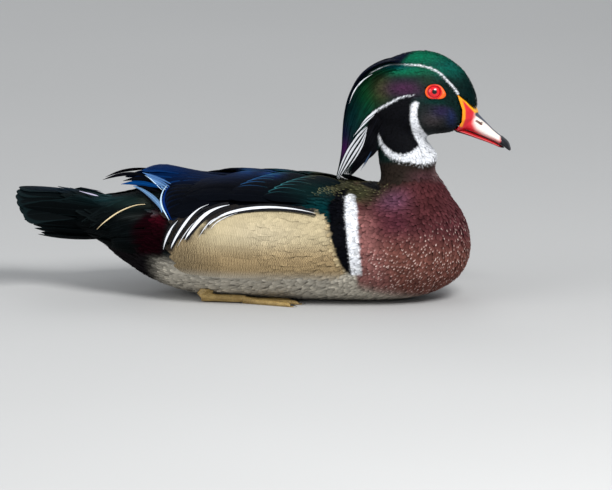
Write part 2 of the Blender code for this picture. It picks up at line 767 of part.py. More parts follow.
def tube(points, radii, collection, name="tube"):
    """A round limb through points, with a radius at each."""
    curve = bpy.data.curves.new(name, "CURVE")
    curve.dimensions = "3D"
    curve.bevel_depth = MM
    curve.bevel_resolution = 1
    curve.use_fill_caps = True
    line = curve.splines.new("POLY")
    line.points.add(len(points) - 1)
    for spot, (x, y, z), radius in zip(line.points, points, radii):
        spot.co = (x * MM, y * MM, z * MM, 1)
        spot.radius = radius
    obj = bpy.data.objects.new(name, curve)
    collection.objects.link(obj)
    bpy.context.view_layer.update()
    obj = baked(obj, name, collection)
    shape = bmesh.new()
    shape.from_mesh(obj.data)
    bmesh.ops.remove_doubles(shape, verts=shape.verts, dist=1e-6)
    face_outward(shape)
    shape.to_mesh(obj.data)
    shape.free()
    return obj


def make_leg(label, side, rooms, finish, part, scrap):
    """The shank, folded forward along the floor from the heel, and the shin up into the belly."""
    heel = (-42, side * 40, 4.4)
    shank = tube([heel, (-30, side * 40.5, 3.6), (-10.3, side * 41.5, 3.6)], [4.2, 3.0, 3.3], scrap, "shank")
    knee = (-26, side * 36, 24)
    shin = tube([(-43.5, side * 40, 4.4), (-36, side * 39, 12), knee], [3.8, 5.5, 7], scrap, "shin")
    leg = boolean(shank, "UNION", [shin])
    bpy.data.objects.remove(shin, do_unlink=True)
    sliced(leg, (0, 0, 0), (0, 0, -1))
    sliced(leg, (-10.3, 0, 0), (1, 0, 0))
    return fuse("leg_" + label, [leg], rooms, finish, part)


def make_foot(label, side, rooms, finish, part, scrap):
    """Three toes with webs between them, laid forward, and the small hind toe."""
    knuckle = Vector((-10, side * 41.5, 3.2))
    toes, tips = [], []
    for angle, length in ((-14, 40), (1, 46), (17, 43)):
        turn = math.radians(angle)
        way = Vector((math.cos(turn), side * math.sin(turn), 0))
        ends = [knuckle + way * length * share for share in (0, 0.3, 0.62, 0.88, 1)]
        for end, height in zip(ends, (2.7, 2.0, 1.8, 1.5, 0.4)):
            end.z = height
        toes.append(tube(ends, [3.1, 2.3, 2.2, 1.9, 0.5], scrap, "toe"))
        tips.append(ends[3])
    web = bmesh.new()
    bmesh.ops.create_grid(web, x_segments=6, y_segments=4, size=0.5)
    for vert in web.verts:
        along, over = vert.co.x + 0.5, vert.co.y + 0.5
        rim = tips[0].lerp(tips[1], over * 2) if over < 0.5 else tips[1].lerp(tips[2], over * 2 - 1)
        scallop = 1 - 0.22 * math.sin(math.pi * ((over * 2) % 1))
        spot = knuckle.lerp(rim, 0.12 + 0.88 * along * scallop)
        vert.co = Vector((spot.x, spot.y, 1.3)) * MM
    bmesh.ops.triangulate(web, faces=web.faces, quad_method="FIXED")
    web = object_of(web, "web", scrap)
    wall = web.modifiers.new("thickness", "SOLIDIFY")
    wall.thickness = 1.1 * MM
    wall.offset = 0
    web = baked(web, "web", scrap)
    claw = (-19, side * 33.6, 1.4)
    hind = tube([(-8, side * 38.5, 3.2), (-13, side * 35.6, 2.4), claw], [1.9, 1.7, 0.5], scrap, "hind")
    foot = boolean(toes[0], "UNION", toes[1:] + [web, hind])
    for piece in toes[1:] + [web, hind]:
        bpy.data.objects.remove(piece, do_unlink=True)
    sliced(foot, (0, 0, 0), (0, 0, -1))
    return fuse("foot_" + label, [foot], rooms, finish, part, share=0.65)


def main():
    clear_scene()
    part = new_collection("wood_duck")
    scrap = new_collection("cutters")
    scrap.hide_render = True
    dark = material("dark_plumage", (0.02, 0.05, 0.045), 0.45)
    chestnut = material("chestnut_plumage", (0.20, 0.07, 0.06), 0.6)
    buff = material("buff_plumage", (0.58, 0.50, 0.36), 0.7)
    green = material("green_plumage", (0.01, 0.12, 0.08), 0.4)
    red = material("bill_skin", (0.72, 0.10, 0.07), 0.35)
    horn = material("dark_horn", (0.02, 0.02, 0.025), 0.3)
    iris = material("eye_glass", (0.65, 0.02, 0.02), 0.08)
    scale = material("foot_skin", (0.42, 0.30, 0.10), 0.55)

    flesh = make_flesh(scrap)
    skin = Skin(flesh)
    flesh_room = grown(flesh, GAP, "flesh_room", scrap)
    make_torso(flesh, chestnut, part, scrap)
    make_neck(flesh, chestnut, part, scrap)
    bill = make_bill(flesh, red, part, scrap)
    jaw = make_jaw(bill, horn, part, scrap)
    make_head(flesh, skin, bill, jaw, green, part, scrap)
    make_crest(flesh_room, green, part, scrap)
    tail = make_tail(flesh, [], dark, part, scrap)
    tail_room = grown(tail, GAP, "tail_room", scrap)
    for label, side in SIDES.items():
        make_eye(label, side, skin, iris, part, scrap)
        wing = make_wing(label, side, skin, flesh_room, dark, part, scrap)
        wing_room = grown(wing, GAP, "wing_room", scrap)
        flank = make_flank(label, side, skin, [flesh_room, wing_room], buff, part, scrap)
        flank_room = grown(flank, GAP, "flank_room", scrap)
        make_rump_plume(label, side, skin, [flesh_room, flank_room, wing_room, tail_room], dark, part, scrap)
        leg = make_leg(label, side, [flesh_room, flank_room], scale, part, scrap)
        leg_room = grown(leg, GAP, "leg_room", scrap)
        make_foot(label, side, [flesh_room, flank_room, leg_room], scale, part, scrap)
    for helper in list(scrap.objects):
        bpy.data.objects.remove(helper, do_unlink=True)
    bpy.data.collections.remove(scrap)


main()
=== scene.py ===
"""The looks of the wood duck drake: skin, plumage, bill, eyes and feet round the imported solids.

Metres, +Z up, the bill towards +X. Shapes are worked out in millimetres and scaled once, when a mesh
is made. The markings are drawn where the photograph shows them, in its pixels, and mirrored.
"""

import math

import bmesh
import bpy
import numpy as np
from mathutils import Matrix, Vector
from mathutils.bvhtree import BVHTree
from mathutils.kdtree import KDTree


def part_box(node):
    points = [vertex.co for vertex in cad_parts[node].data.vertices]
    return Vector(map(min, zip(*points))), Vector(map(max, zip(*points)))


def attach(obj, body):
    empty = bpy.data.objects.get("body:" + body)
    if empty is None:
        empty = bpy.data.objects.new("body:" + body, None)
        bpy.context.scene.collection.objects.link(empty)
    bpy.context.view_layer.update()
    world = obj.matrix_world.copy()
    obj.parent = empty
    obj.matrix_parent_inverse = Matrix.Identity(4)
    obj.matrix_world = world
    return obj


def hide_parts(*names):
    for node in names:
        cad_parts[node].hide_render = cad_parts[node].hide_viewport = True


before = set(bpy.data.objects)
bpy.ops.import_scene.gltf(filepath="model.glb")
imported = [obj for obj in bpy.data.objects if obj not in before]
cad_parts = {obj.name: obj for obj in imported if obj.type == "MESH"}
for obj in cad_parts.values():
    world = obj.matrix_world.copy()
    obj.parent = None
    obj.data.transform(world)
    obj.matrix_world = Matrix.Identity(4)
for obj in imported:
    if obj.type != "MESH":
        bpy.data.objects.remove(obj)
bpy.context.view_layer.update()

MM = 0.001
OUTSIDE = 400.0  # farther than any of the bird is from its middle, in millimetres
SIDES = {"right": -1, "left": 1}

# The photograph's view: a long lens, from ahead of the bird's right side and a little above
VIEW_AZIMUTH = math.radians(8)
VIEW_ELEVATION = math.radians(10)
PIXEL = 0.77  # millimetres of the bird that one pixel covers
ORIGIN_PIXEL = (263.5, 294.0)
PICTURE_SIZE = (612, 490)
LENS = 900.0
SENSOR = 36.0

# The flesh, as the solids have it, in millimetres
BODY_AXIS_Z = 50.0
SKIN_DEPTH = 1.3  # how far the skin lies under the coat's outside on the body
HEAD_DEPTH = 0.7
EYE_X, EYE_Z, EYE_RADIUS, EYE_BULGE = 134.6, 163.6, 7.9, 1.7
TAIL_TIP_X = -191.6
WING_EDGES = [(64, 44, 52), (57, 24, 57), (38, 12, 59.5), (12, 6, 60.5), (-15, 4, 61), (-42, 4, 63),
              (-60, 5, 66), (-66, 12, 60)]
FLANK_EDGES = [(62, 72, 84), (58, 65, 98), (46, 61.5, 110), (15, 61, 115), (-15, 61.5, 113), (-38, 64, 108),
               (-50, 72, 98)]
WING_LOWER_EDGE = (-64, -57, -38, 66), (52, 57, 59.5, 66)  # minus x, and the girth angle there
SIDE_REACH = (-66, 64)  # the x that the wings and flanks lie between
SIDE_TOP_Z = 96
STANDING = 0.05  # places that stand out by more than this belong to a wing or a flank
BREAST_X, RUMP_X, BELLY_Z = 66, -62, 40  # where the mantle's feathers end
CREST_OUTER = [(126, 180), (112, 185.5), (100, 186), (90, 183.2), (81, 178), (73.5, 170.5), (68, 160.5),
               (64.5, 150), (62.5, 138), (61.6, 126), (61, 115), (59.2, 104), (56.4, 91.4)]
CREST_INNER = [(112, 161), (105, 147), (98, 134), (93, 122), (87, 113), (79, 106), (71.3, 97.6), (63.4, 89.9)]
# The line that the feathers lie along, from the bill over the head and down the neck to the tail: x, z
LIE = [(165, 148), (150, 156), (130, 160), (112, 152), (106, 135), (108, 115), (112, 97), (104, 76), (80, 60),
       (45, 50), (0, 48), (-50, 50), (-100, 60), (-150, 68), (-190, 74)]

# Colours, as linear light
BLACK = (0.0018, 0.0020, 0.0034)
INK = (0.002, 0.004, 0.014)
WHITE = (0.80, 0.82, 0.86)
NIGHT_GREEN = (0.004, 0.016, 0.014)
CREAM = (0.52, 0.48, 0.40)


def unit(vectors):
    return vectors / np.maximum(np.linalg.norm(vectors, axis=-1, keepdims=True), 1e-12)


def smooth(low, high, values):
    """0 below low, 1 above high, and a soft step between. low may be above high."""
    share = np.clip((values - low) / (high - low), 0, 1)
    return share * share * (3 - 2 * share)


def curve(rows, shares):
    """The rows of a table at shares from 0 to 1 of its length, on a smooth curve through all of them."""
    rows = np.array(rows, float)
    slopes = np.gradient(rows, axis=0)
    places = np.clip(np.asarray(shares, float), 0, 1) * (len(rows) - 1)
    first = np.clip(np.floor(places).astype(int), 0, len(rows) - 2)
    t = (places - first)[..., None]
    a, b, da, db = rows[first], rows[first + 1], slopes[first], slopes[first + 1]
    joined = (2 * t**3 - 3 * t**2 + 1) * a + (3 * t**2 - 2 * t**3) * b
    return joined + (t**3 - 2 * t**2 + t) * da + (t**3 - t**2) * db


def evened(values):
    """Draws each row of a line but its ends towards its neighbours, in place, and gives the line back."""
    values[1:-1] = (values[:-2] + values[1:-1] * 2 + values[2:]) / 4
    return values


def girth_of(points):
    """The angle of places round the body from its top, in degrees, alike on both sides."""
    return np.degrees(np.arctan2(np.abs(points[:, 1]), points[:, 2] - BODY_AXIS_Z))


# Markings

CAMERA_RIGHT = np.array([math.cos(VIEW_AZIMUTH), math.sin(VIEW_AZIMUTH), 0])
CAMERA_UP = np.array([
    -math.sin(VIEW_AZIMUTH) * math.sin(VIEW_ELEVATION),
    math.cos(VIEW_AZIMUTH) * math.sin(VIEW_ELEVATION),
    math.cos(VIEW_ELEVATION),
])
CAMERA_BACK = np.cross(CAMERA_RIGHT, CAMERA_UP)


def seen(points):
    """Where the photograph shows points of the bird, in its pixels. The left side is seen as the right."""
    near = points * np.where(points[:, 1:2] > 0, [1, -1, 1], [1, 1, 1])
    right, up = near @ CAMERA_RIGHT, near @ CAMERA_UP
    return np.stack([ORIGIN_PIXEL[0] + right / PIXEL, ORIGIN_PIXEL[1] - up / PIXEL], 1)


def picture_place(spots):
    """How far pixels are to the right of the origin and above it, in millimetres of the bird."""
    across, down = np.array(spots, float).T
    return (across - ORIGIN_PIXEL[0]) * PIXEL, (ORIGIN_PIXEL[1] - down) * PIXEL


def picture_points(spots):
    """The points of the picture's plane through the origin that pixels show."""
    right, up = picture_place(spots)
    return right[:, None] * CAMERA_RIGHT + up[:, None] * CAMERA_UP


def from_line(spots, line):
    """How far spots are from a line through points, and the share of the line that they lie beside."""
    line = np.array(line, float)
    best, share = np.full(len(spots), 1e9), np.zeros(len(spots))
    for k in range(len(line) - 1):
        step = line[k + 1] - line[k]
        t = np.clip(((spots - line[k]) @ step) / (step @ step), 0, 1)
        away = np.linalg.norm(spots - line[k] - t[:, None] * step, axis=1)
        nearer = away < best
        best[nearer] = away[nearer]
        share[nearer] = (k + t[nearer]) / (len(line) - 1)
    return best, share


def band(spots, line, half, soft):
    """1 along a line and 0 away from it. half is its half width, or that at its start and its end."""
    away, share = from_line(spots, line)
    first, last = half if isinstance(half, tuple) else (half, half)
    return 1 - smooth(-soft / 2, soft / 2, away - (first + (last - first) * share))


def inside(spots, outline, soft=1.0):
    """1 in a closed outline and 0 outside it."""
    corners = np.array(outline, float)
    within = np.zeros(len(spots), bool)
    for a, b in zip(corners, np.roll(corners, -1, axis=0)):
        if a[1] != b[1]:
            crosses = (a[1] > spots[:, 1]) != (b[1] > spots[:, 1])
            within ^= crosses & (spots[:, 0] < (b[0] - a[0]) * (spots[:, 1] - a[1]) / (b[1] - a[1]) + a[0])
    away, _ = from_line(spots, list(outline) + [outline[0]])
    return smooth(-soft, soft, np.where(within, away, -away))


def glow(spots, centre, radii):
    """A patch that fades out all round."""
    return np.exp(-(((spots - centre) / radii) ** 2).sum(1))


def ripple(points, size, seed):
    """Smooth unevenness from -1 to 1 in patches of about this size, in millimetres."""
    draw = np.random.default_rng(seed)
    total = np.zeros(len(points))
    for _ in range(5):
        way = unit(draw.normal(size=3)) * 2 * math.pi / (size * draw.uniform(0.7, 1.6))
        total += np.sin(points @ way + draw.uniform(0, 6.3))
    return np.clip(total / 3, -1, 1)


class Paint:
    """Colours laid one over another on places of the bird: tint and gloss, and trim with its amount,
    which each finish uses for its feathers' edges, spots or fine lines."""

    def __init__(self, count, tint, gloss):
        self.tint = np.tile(np.array(tint, float), (count, 1))
        self.gloss = np.full(count, float(gloss))
        self.trim = self.tint.copy()
        self.amount = np.zeros(count)

    def lay(self, mask, tint, gloss=None):
        self.tint += (np.array(tint) - self.tint) * mask[:, None]
        if gloss is not None:
            self.gloss += (gloss - self.gloss) * mask

    def glows(self, spots, patches, within=1.0):
        """Lays soft patches: the middle and radii of each in pixels, its colour, strength and any gloss."""
        for centre, radii, tint, strength, *gloss in patches:
            self.lay(glow(spots, centre, radii) * strength * within, tint, *gloss)

    def edge(self, mask, trim, amount):
        self.trim += (np.array(trim) - self.trim) * mask[:, None]
        self.amount += (amount - self.amount) * mask


UPPER_LINE = [(457.5, 95), (455, 91), (451, 86), (446, 81), (441, 75.5), (436, 72), (430, 69), (424, 67.3),
              (417, 66), (410, 65.8), (400, 65), (392, 65.2), (383, 67.5), (376, 71), (370, 74)]
LOWER_LINE = [(414, 96), (405, 97), (399, 98.5), (392, 102.5), (383, 107), (375, 112), (369, 117), (362, 123)]
# White plumes of the crest, each along its line in the photograph, with its half width in millimetres
CREST_PLUMES = (
    ([(384, 67.3), (376, 70.5), (371, 73.5)], 0.42),
    ([(372, 74.8), (364, 80), (358, 86), (353, 93.5), (349, 104)], 0.55),
    ([(386, 105.2), (379, 109.6), (372, 114.5), (366, 119.5), (360, 126.5)], 0.85),
    ([(374, 115.5), (367, 121.5), (360, 128.5), (353, 137)], 0.6),
    ([(367, 127.5), (357, 137.5), (348, 150.5), (341.6, 164), (336.8, 178)], 0.75),
    ([(367, 129), (359, 140), (350.5, 152.5), (343.6, 165.5), (337.4, 178.8)], 0.85),
    ([(366.5, 131), (361, 143), (353.5, 155), (346, 167), (338.4, 179.4)], 0.8),
    ([(366, 134), (362.5, 145), (356, 157), (347, 170)], 0.55),
    ([(366, 127), (361, 132), (355, 139), (349, 148)], 0.4),
)
BLUE_STRAND = [(371, 152), (366, 161), (360.5, 171)]
BLACK_RIM = [(398, 66), (388, 64), (374, 70), (362, 81), (353, 93), (348, 105), (345, 120), (330, 120),
             (330, 40), (420, 40), (412, 53)]
BLACK_PANEL = [(412, 98), (400, 100), (388, 105), (376, 111), (368, 122), (362, 142), (350, 170), (345, 180),
               (378, 180), (378, 140), (384, 148), (392, 154), (402, 157), (412, 153), (421, 146), (417, 138),
               (411, 128), (410, 104)]
BRIDLE = [(414, 102.3), (418.5, 103.8), (416.5, 110), (416.5, 118), (419, 126), (423, 132), (428, 137),
          (424, 146), (419, 146), (415, 139), (411.5, 131), (409.5, 121), (409.8, 111), (411, 104.5)]
COLLAR = [(378, 134.5), (383, 144), (390, 151), (398, 155), (406, 154.5), (413, 151), (419, 146), (419, 139),
          (424, 135), (432, 146), (446, 150), (446, 158), (434, 163), (425, 165.2), (417, 164.4),
          (409, 162.4), (400, 162.2), (392, 159.6), (385, 154), (380, 146.5)]
CHEEK = [(420, 104), (430, 104), (444, 106), (452, 110), (457, 118), (456, 131), (440, 136), (424, 134),
         (418, 124), (417, 112)]
WHITE_BAR = [(350, 193.5), (354, 196), (356.5, 206), (357.5, 225), (358.5, 245), (361.5, 275), (351, 275),
             (348.5, 255), (346.5, 235), (344.5, 212), (345, 197)]
BLACK_BAR = [(349, 188), (345, 197), (344.5, 212), (346.5, 235), (348.5, 255), (352, 276), (343, 270),
             (336, 256), (331.5, 240), (329, 225), (327, 205), (332, 192)]
FLANK_BLACK = [(318, 212), (290, 209.6), (262, 209), (245, 211.5), (233, 215), (221, 219.5), (210, 226.5),
               (202, 238), (200, 233), (204, 225), (208, 220), (204, 219), (198, 225), (191, 235), (186, 246),
               (184, 240), (178, 240), (172, 252), (150, 258), (150, 190), (240, 190), (320, 205)]
FLANK_FRONT = [(285, 216), (306, 212.5), (316, 213), (323.5, 217.5), (328.5, 225), (331.5, 240), (337, 255),
               (348, 272), (340, 280), (285, 280)]
SHOULDER_BAND = [(356, 178), (366, 182.8), (377, 187.5)]
MAROON = [(168, 212), (168, 222), (166, 240), (163, 256), (140, 254), (134, 240), (135, 224), (144, 215),
          (156, 210)]


def lay_neck(paint, spots, mask):
    """Brown black behind and under the collar, and dull purple down the front of the neck."""
    across, down = spots.T
    paint.lay(mask, (0.016, 0.011, 0.008), 0.15)
    paint.lay(mask * smooth(398, 424, across) * smooth(166, 178, down), (0.060, 0.024, 0.028), 0.2)
    paint.lay(mask * glow(spots, (436, 176), (4, 14)) * 0.6, (0.200, 0.120, 0.120), 0.2)


# Where plumage shines: the middle and radii of each patch in pixels, its colour, strength and any gloss
HEAD_SHEEN = (
    ((418, 58), (30, 8), (0.0, 0.115, 0.055), 1.0),
    ((447, 70), (18, 11), (0.0, 0.085, 0.066), 0.9),
    ((468, 96), (14, 20), (0.0, 0.010, 0.010), 0.85),
    ((405, 72), (32, 4.5), (0.0, 0.120, 0.056), 1.0),
    ((390, 67.5), (18, 3), (0.0, 0.085, 0.100), 0.9),
    ((368, 92), (10, 20), (0.001, 0.070, 0.020), 0.95),
    ((381, 90), (10, 13), (0.040, 0.050, 0.008), 0.85),
    ((403, 89.5), (21, 8), (0.052, 0.016, 0.046), 1.0),
    ((428, 82), (11, 8), (0.010, 0.030, 0.012), 0.6),
    ((352, 120), (8, 22), (0.0, 0.022, 0.026), 0.85),
    ((364, 114), (7, 12), (0.0, 0.040, 0.024), 0.6),
    ((343, 148), (6, 11), (0.055, 0.006, 0.070), 0.95),
    ((343, 133), (5, 10), (0.010, 0.012, 0.055), 0.8),
    ((446, 84), (9, 8), (0.001, 0.007, 0.006), 0.85),
    ((432, 104), (12, 4.5), (0.0, 0.035, 0.028), 0.8),
)
CHEEK_SHEEN = (
    ((432, 121), (12, 8), (0.040, 0.034, 0.036), 1, 0.4),
    ((441, 112), (9, 6), (0.024, 0.018, 0.055), 1, 0.5),
    ((451, 118), (5, 10), (0.014, 0.022, 0.070), 1, 0.6),
    ((440, 130), (16, 3), (0.006, 0.007, 0.008), 0.8, 0.4),
)
CHEST_SHEEN = (
    ((392, 200), (16, 12), (0.130, 0.052, 0.088), 1, 0.35),
    ((396, 222), (14, 12), (0.070, 0.018, 0.028), 0.8, 0.3),
    ((427, 200), (15, 26), (0.066, 0.018, 0.020), 1, 0.3),
)
WING_SHEEN = (
    ((165, 170), (36, 9), (0.0005, 0.014, 0.070), 1.0),
    ((220, 174), (40, 6), (0.001, 0.008, 0.036), 0.9),
    ((318, 207), (12, 10), (0.003, 0.042, 0.046), 0.9),
    ((312, 190), (24, 10), (0.003, 0.016, 0.016), 0.9),
    ((272, 173), (9, 4), (0.002, 0.040, 0.180), 0.8),
    ((246, 172), (8, 3), (0.002, 0.030, 0.120), 0.8),
)
TAIL_SHEEN = (
    ((112, 197), (26, 6), (0.002, 0.022, 0.026), 0.8, 0.8),
    ((62, 188), (34, 3), (0.001, 0.010, 0.022), 0.8, 0.8),
)
RUMP_SHEEN = (
    ((128, 202), (16, 7), (0.010, 0.022, 0.020), 0.8, 0.6),
    ((148, 200), (8, 7), (0.026, 0.030, 0.024), 0.7, 0.5),
    ((140, 217), (20, 3), (0.030, 0.036, 0.034), 0.5, 0.4),
)


def head_paint(points):
    """The head, crest and neck down to the collar."""
    spots = seen(points)
    paint = Paint(len(points), NIGHT_GREEN, 0.75)
    paint.glows(spots, HEAD_SHEEN)
    cheek = inside(spots, CHEEK, 3)
    paint.lay(cheek * 0.85, (0.010, 0.014, 0.015), 0.5)
    paint.glows(spots, CHEEK_SHEEN, cheek)
    paint.lay(inside(spots, BLACK_RIM, 2.5), INK, 0.6)
    paint.lay(inside(spots, BLACK_PANEL, 1.2), BLACK, 0.35)
    paint.tint *= 1 + 0.22 * ripple(points, 3.0, 5)[:, None]
    lay_neck(paint, spots, smooth(160, 166, spots[:, 1]) * smooth(372, 378, spots[:, 0]))
    fade = 1 - 0.7 * glow(spots, (396, 65), (13, 6))
    paint.lay(band(spots, UPPER_LINE, (0.95, 0.25), 0.7) * fade, WHITE, 0.2)
    paint.lay(band(spots, LOWER_LINE, (0.35, 1.25), 0.8) * smooth(370, 374, spots[:, 0]), WHITE, 0.2)
    for shape in (BRIDLE, COLLAR):
        paint.lay(inside(spots, shape, 0.7), WHITE, 0.15)
    return paint


def body_paint(points):
    """Breast, neck, mantle, belly, rump and the feathers round the tail."""
    spots = seen(points)
    x, _, z = points.T
    across, down = spots.T
    paint = Paint(len(points), (0.020, 0.019, 0.015), 0.45)
    mantle_edge = smooth(300, 318, across) * smooth(205, 192, down - 0.25 * np.maximum(0, across - 345))
    paint.edge(mantle_edge, (0.17, 0.165, 0.080), 0.8)
    paint.lay(mantle_edge * 0.6, (0.036, 0.036, 0.020))
    teal = smooth(262, 300, across) * smooth(350, 340, across) * smooth(194, 206, down)
    paint.lay(teal, (0.001, 0.024, 0.028))
    paint.lay(smooth(-40, -75, x), (0.003, 0.007, 0.008), 0.5)
    belly = smooth(36, 22, z - 0.05 * np.abs(x - 20)) * smooth(-92, -66, x)
    paint.lay(belly, CREAM, 0.1)
    paint.lay(smooth(-66, -90, x) * smooth(60, 48, z), (0.005, 0.004, 0.005), 0.35)
    behind = smooth(-60, -68, x)
    paint.lay(inside(spots, MAROON, 4) * behind, (0.0060, 0.0003, 0.0014), 0.5)
    bright = glow(spots, (160, 217), (11, 8)) * inside(spots, MAROON, 3) * behind
    paint.lay(bright, (0.028, 0.0014, 0.0040), 0.5)
    # A painted highlight: a small grey glint at the top of the maroon patch.
    paint.lay(glow(spots, (148, 213.5), (9, 2)) * behind * 0.8, (0.11, 0.12, 0.13), 0.3)

    chest = smooth(353, 358, across - 0.035 * (down - 230)) * smooth(0, 18, z + 0.35 * (x - 110))
    chest = np.maximum(chest, smooth(378, 392, across) * smooth(28, 44, z))
    paint.lay(chest, (0.090, 0.026, 0.030), 0.25)
    paint.amount *= 1 - chest * smooth(372, 380, across + 0.8 * (down - 200))
    paint.glows(spots, CHEST_SHEEN, chest)
    paint.lay(chest * smooth(226, 262, down) * 0.65, (0.200, 0.080, 0.058), 0.15)
    rosy = smooth(386, 360, across - 0.3 * (down - 230)) * smooth(204, 218, down)
    paint.lay(chest * rosy * 0.8, (0.250, 0.105, 0.098), 0.15)
    nape = smooth(207, 184, down + 0.55 * (across - 385)) * smooth(352, 372, across)
    paint.lay(nape * 0.9, (0.024, 0.019, 0.012), 0.3)
    olive = glow(spots, (356, 192), (17, 11)) * smooth(205, 199, down - 0.5 * (across - 350))
    paint.lay(np.minimum(1, olive * 1.3), (0.046, 0.045, 0.022), 0.3)
    shoulder = band(spots, SHOULDER_BAND, 3.3, 1.2)
    paint.lay(shoulder, BLACK, 0.4)
    paint.amount *= 1 - shoulder
    lay_neck(paint, spots, smooth(186, 174, down) * smooth(370, 380, across))

    paint.lay(inside(spots, FLANK_FRONT, 1.0) * smooth(24, 34, z), (0.430, 0.340, 0.195), 0.1)
    paint.lay(inside(spots, BLACK_BAR, 1.0), BLACK, 0.4)
    paint.lay(inside(spots, WHITE_BAR, 0.9), WHITE, 0.1)
    paint.tint *= 1 + 0.14 * ripple(points, 5.0, 9)[:, None]
    return paint


def breast_paint(points):
    """The breast with the amount of white in its feathers' tips."""
    spots = seen(points)
    paint = body_paint(points)
    low = smooth(-14, 16, spots[:, 1] - 235 + 0.35 * (spots[:, 0] - 420))
    paint.trim[:] = (0.74, 0.56, 0.50)
    paint.amount = low * smooth(360, 372, spots[:, 0]) * (0.42 + 0.4 * ripple(points, 5, 17))
    paint.amount *= 1 - inside(spots, WHITE_BAR, 3)
    return paint


def flank_paint(points):
    """Buff, browner and more finely lined below and behind, between the wing and the black bar."""
    spots = seen(points)
    across, down = spots.T
    paint = Paint(len(points), (0.470, 0.390, 0.235), 0.1)
    paint.lay(glow(spots, (262, 235), (40, 16)) * 0.6, (0.540, 0.465, 0.320))
    paint.lay(smooth(238, 262, down) * 0.8, (0.390, 0.270, 0.130))
    paint.lay(smooth(215, 180, across) * smooth(215, 235, down), (0.320, 0.240, 0.130))
    paint.trim[:] = (0.050, 0.032, 0.015)
    paint.amount = 0.26 + 0.45 * smooth(230, 256, down) + 0.35 * smooth(225, 185, across)
    belly = smooth(31, 22, points[:, 2])
    paint.lay(belly * 0.8, CREAM)
    paint.amount *= 1 - 0.6 * belly
    paint.lay(inside(spots, FLANK_BLACK, 1.2), BLACK, 0.4)
    paint.lay(smooth(168, 161, across), (0.004, 0.004, 0.005), 0.4)
    paint.lay(inside(spots, BLACK_BAR, 1.2), BLACK, 0.4)
    paint.lay(inside(spots, WHITE_BAR, 1.0), WHITE, 0.1)
    return paint


def wing_paint(points):
    """Black, with painted blue sheen along the top, teal in front and feathers edged in blue, green and
    bronze.
    """
    spots = seen(points)
    across, down = spots.T
    paint = Paint(len(points), (0.0018, 0.0025, 0.0045), 0.8)
    paint.glows(spots, WING_SHEEN)
    paint.edge(smooth(232, 246, across) * smooth(190, 184, down), (0.015, 0.110, 0.300), 0.7)
    paint.edge(smooth(258, 272, across) * smooth(198, 188, down), (0.030, 0.150, 0.170), 0.75)
    paint.edge(smooth(302, 316, across) * smooth(200, 190, down), (0.180, 0.180, 0.090), 0.85)
    return paint


# Shapes that carry the plumage


class Surface:
    """A mesh to set feathers on, in millimetres."""

    def __init__(self, obj):
        mesh = obj.data
        self.points, self.normals = vertices_of(obj)
        mesh.calc_loop_triangles()
        corners = np.zeros(len(mesh.loop_triangles) * 3, int)
        mesh.loop_triangles.foreach_get("vertices", corners)
        self.triangles = corners.reshape(-1, 3)
        self.tree = BVHTree.FromPolygons([tuple(p) for p in self.points], [tuple(t) for t in self.triangles])

    def nearest(self, places):
        """The nearest points of the surface to places, and the outward directions there."""
        hits = [self.tree.find_nearest(place) for place in places]
        return np.array([hit[0] for hit in hits]), np.array([self.blended(hit[2], hit[0]) for hit in hits])

    def blended(self, index, hit):
        """The outward direction at a point of a triangle, blended from its corners'."""
        corners = self.triangles[index]
        away = np.linalg.norm(self.points[corners] - np.array(hit), axis=1) + 0.05
        normal = (self.normals[corners] / away[:, None]).sum(0)
        return normal / np.linalg.norm(normal)

    def cast(self, start, way):
        hit, _, index, _ = self.tree.ray_cast(Vector(start), Vector(way))
        if hit is None:
            hit, _, index, _ = self.tree.find_nearest(Vector(start) + Vector(way) * OUTSIDE)
        return np.array(hit), self.blended(index, hit)

    def at(self, x, girth, lift):
        """The point at x and at a girth angle from the top, in degrees to the left, raised by lift, and the
        outward direction there."""
        turn = math.radians(girth)
        out = np.array([0, math.sin(turn), math.cos(turn)])
        hit, normal = self.cast(np.array([x, 0, BODY_AXIS_Z]) + out * OUTSIDE, -out)
        return hit + normal * lift, normal

    def along_pixels(self, side, spots, lift):
        """Points and outward directions along a line in the photograph, mirrored to the left for side 1 and
        raised by lift towards the camera. Where the line leaves the surface it goes on at its last depth."""
        starts = picture_points(spots) + CAMERA_BACK * OUTSIDE
        hits = [self.tree.ray_cast(Vector(start), Vector(-CAMERA_BACK)) for start in starts]
        known = [k for k, hit in enumerate(hits) if hit[0] is not None]
        used = [hits[max((k for k in known if k <= place), default=known[0])] for place in range(len(hits))]
        depths = np.array([away for _, _, _, away in used])
        faces = np.array([self.blended(index, hit) for hit, _, index, _ in used])
        for _ in range(8):
            depths, faces = evened(depths), unit(evened(faces))
        flip = np.array([1, -side, 1])
        return (starts - CAMERA_BACK * (depths - lift)[:, None]) * flip, faces * flip


def link(mesh, name):
    obj = bpy.data.objects.new(name, mesh)
    bpy.context.scene.collection.objects.link(obj)
    return obj


def finished(obj, name):
    """A plain object of what obj looks like with its modifiers. obj is removed."""
    graph = bpy.context.evaluated_depsgraph_get()
    mesh = bpy.data.meshes.new_from_object(obj.evaluated_get(graph))
    mesh.transform(obj.matrix_world)
    bpy.data.objects.remove(obj, do_unlink=True)
    mesh.name = name
    return link(mesh, name)


def node_copy(names, name, growth=0.0):
    """The merged shapes of some CAD nodes in one new object, each grown outward by a little."""
    whole = bmesh.new()
    for node in names:
        shape = bmesh.new()
        shape.from_mesh(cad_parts[node].data)
        bmesh.ops.remove_doubles(shape, verts=shape.verts, dist=1e-6)
        shape.normal_update()
        for vert in shape.verts:
            vert.co += vert.normal * growth * MM
        part = bpy.data.meshes.new("part")
        shape.to_mesh(part)
        shape.free()
        whole.from_mesh(part)
        bpy.data.meshes.remove(part)
    mesh = bpy.data.meshes.new(name)
    whole.to_mesh(mesh)
    whole.free()
    return link(mesh, name)


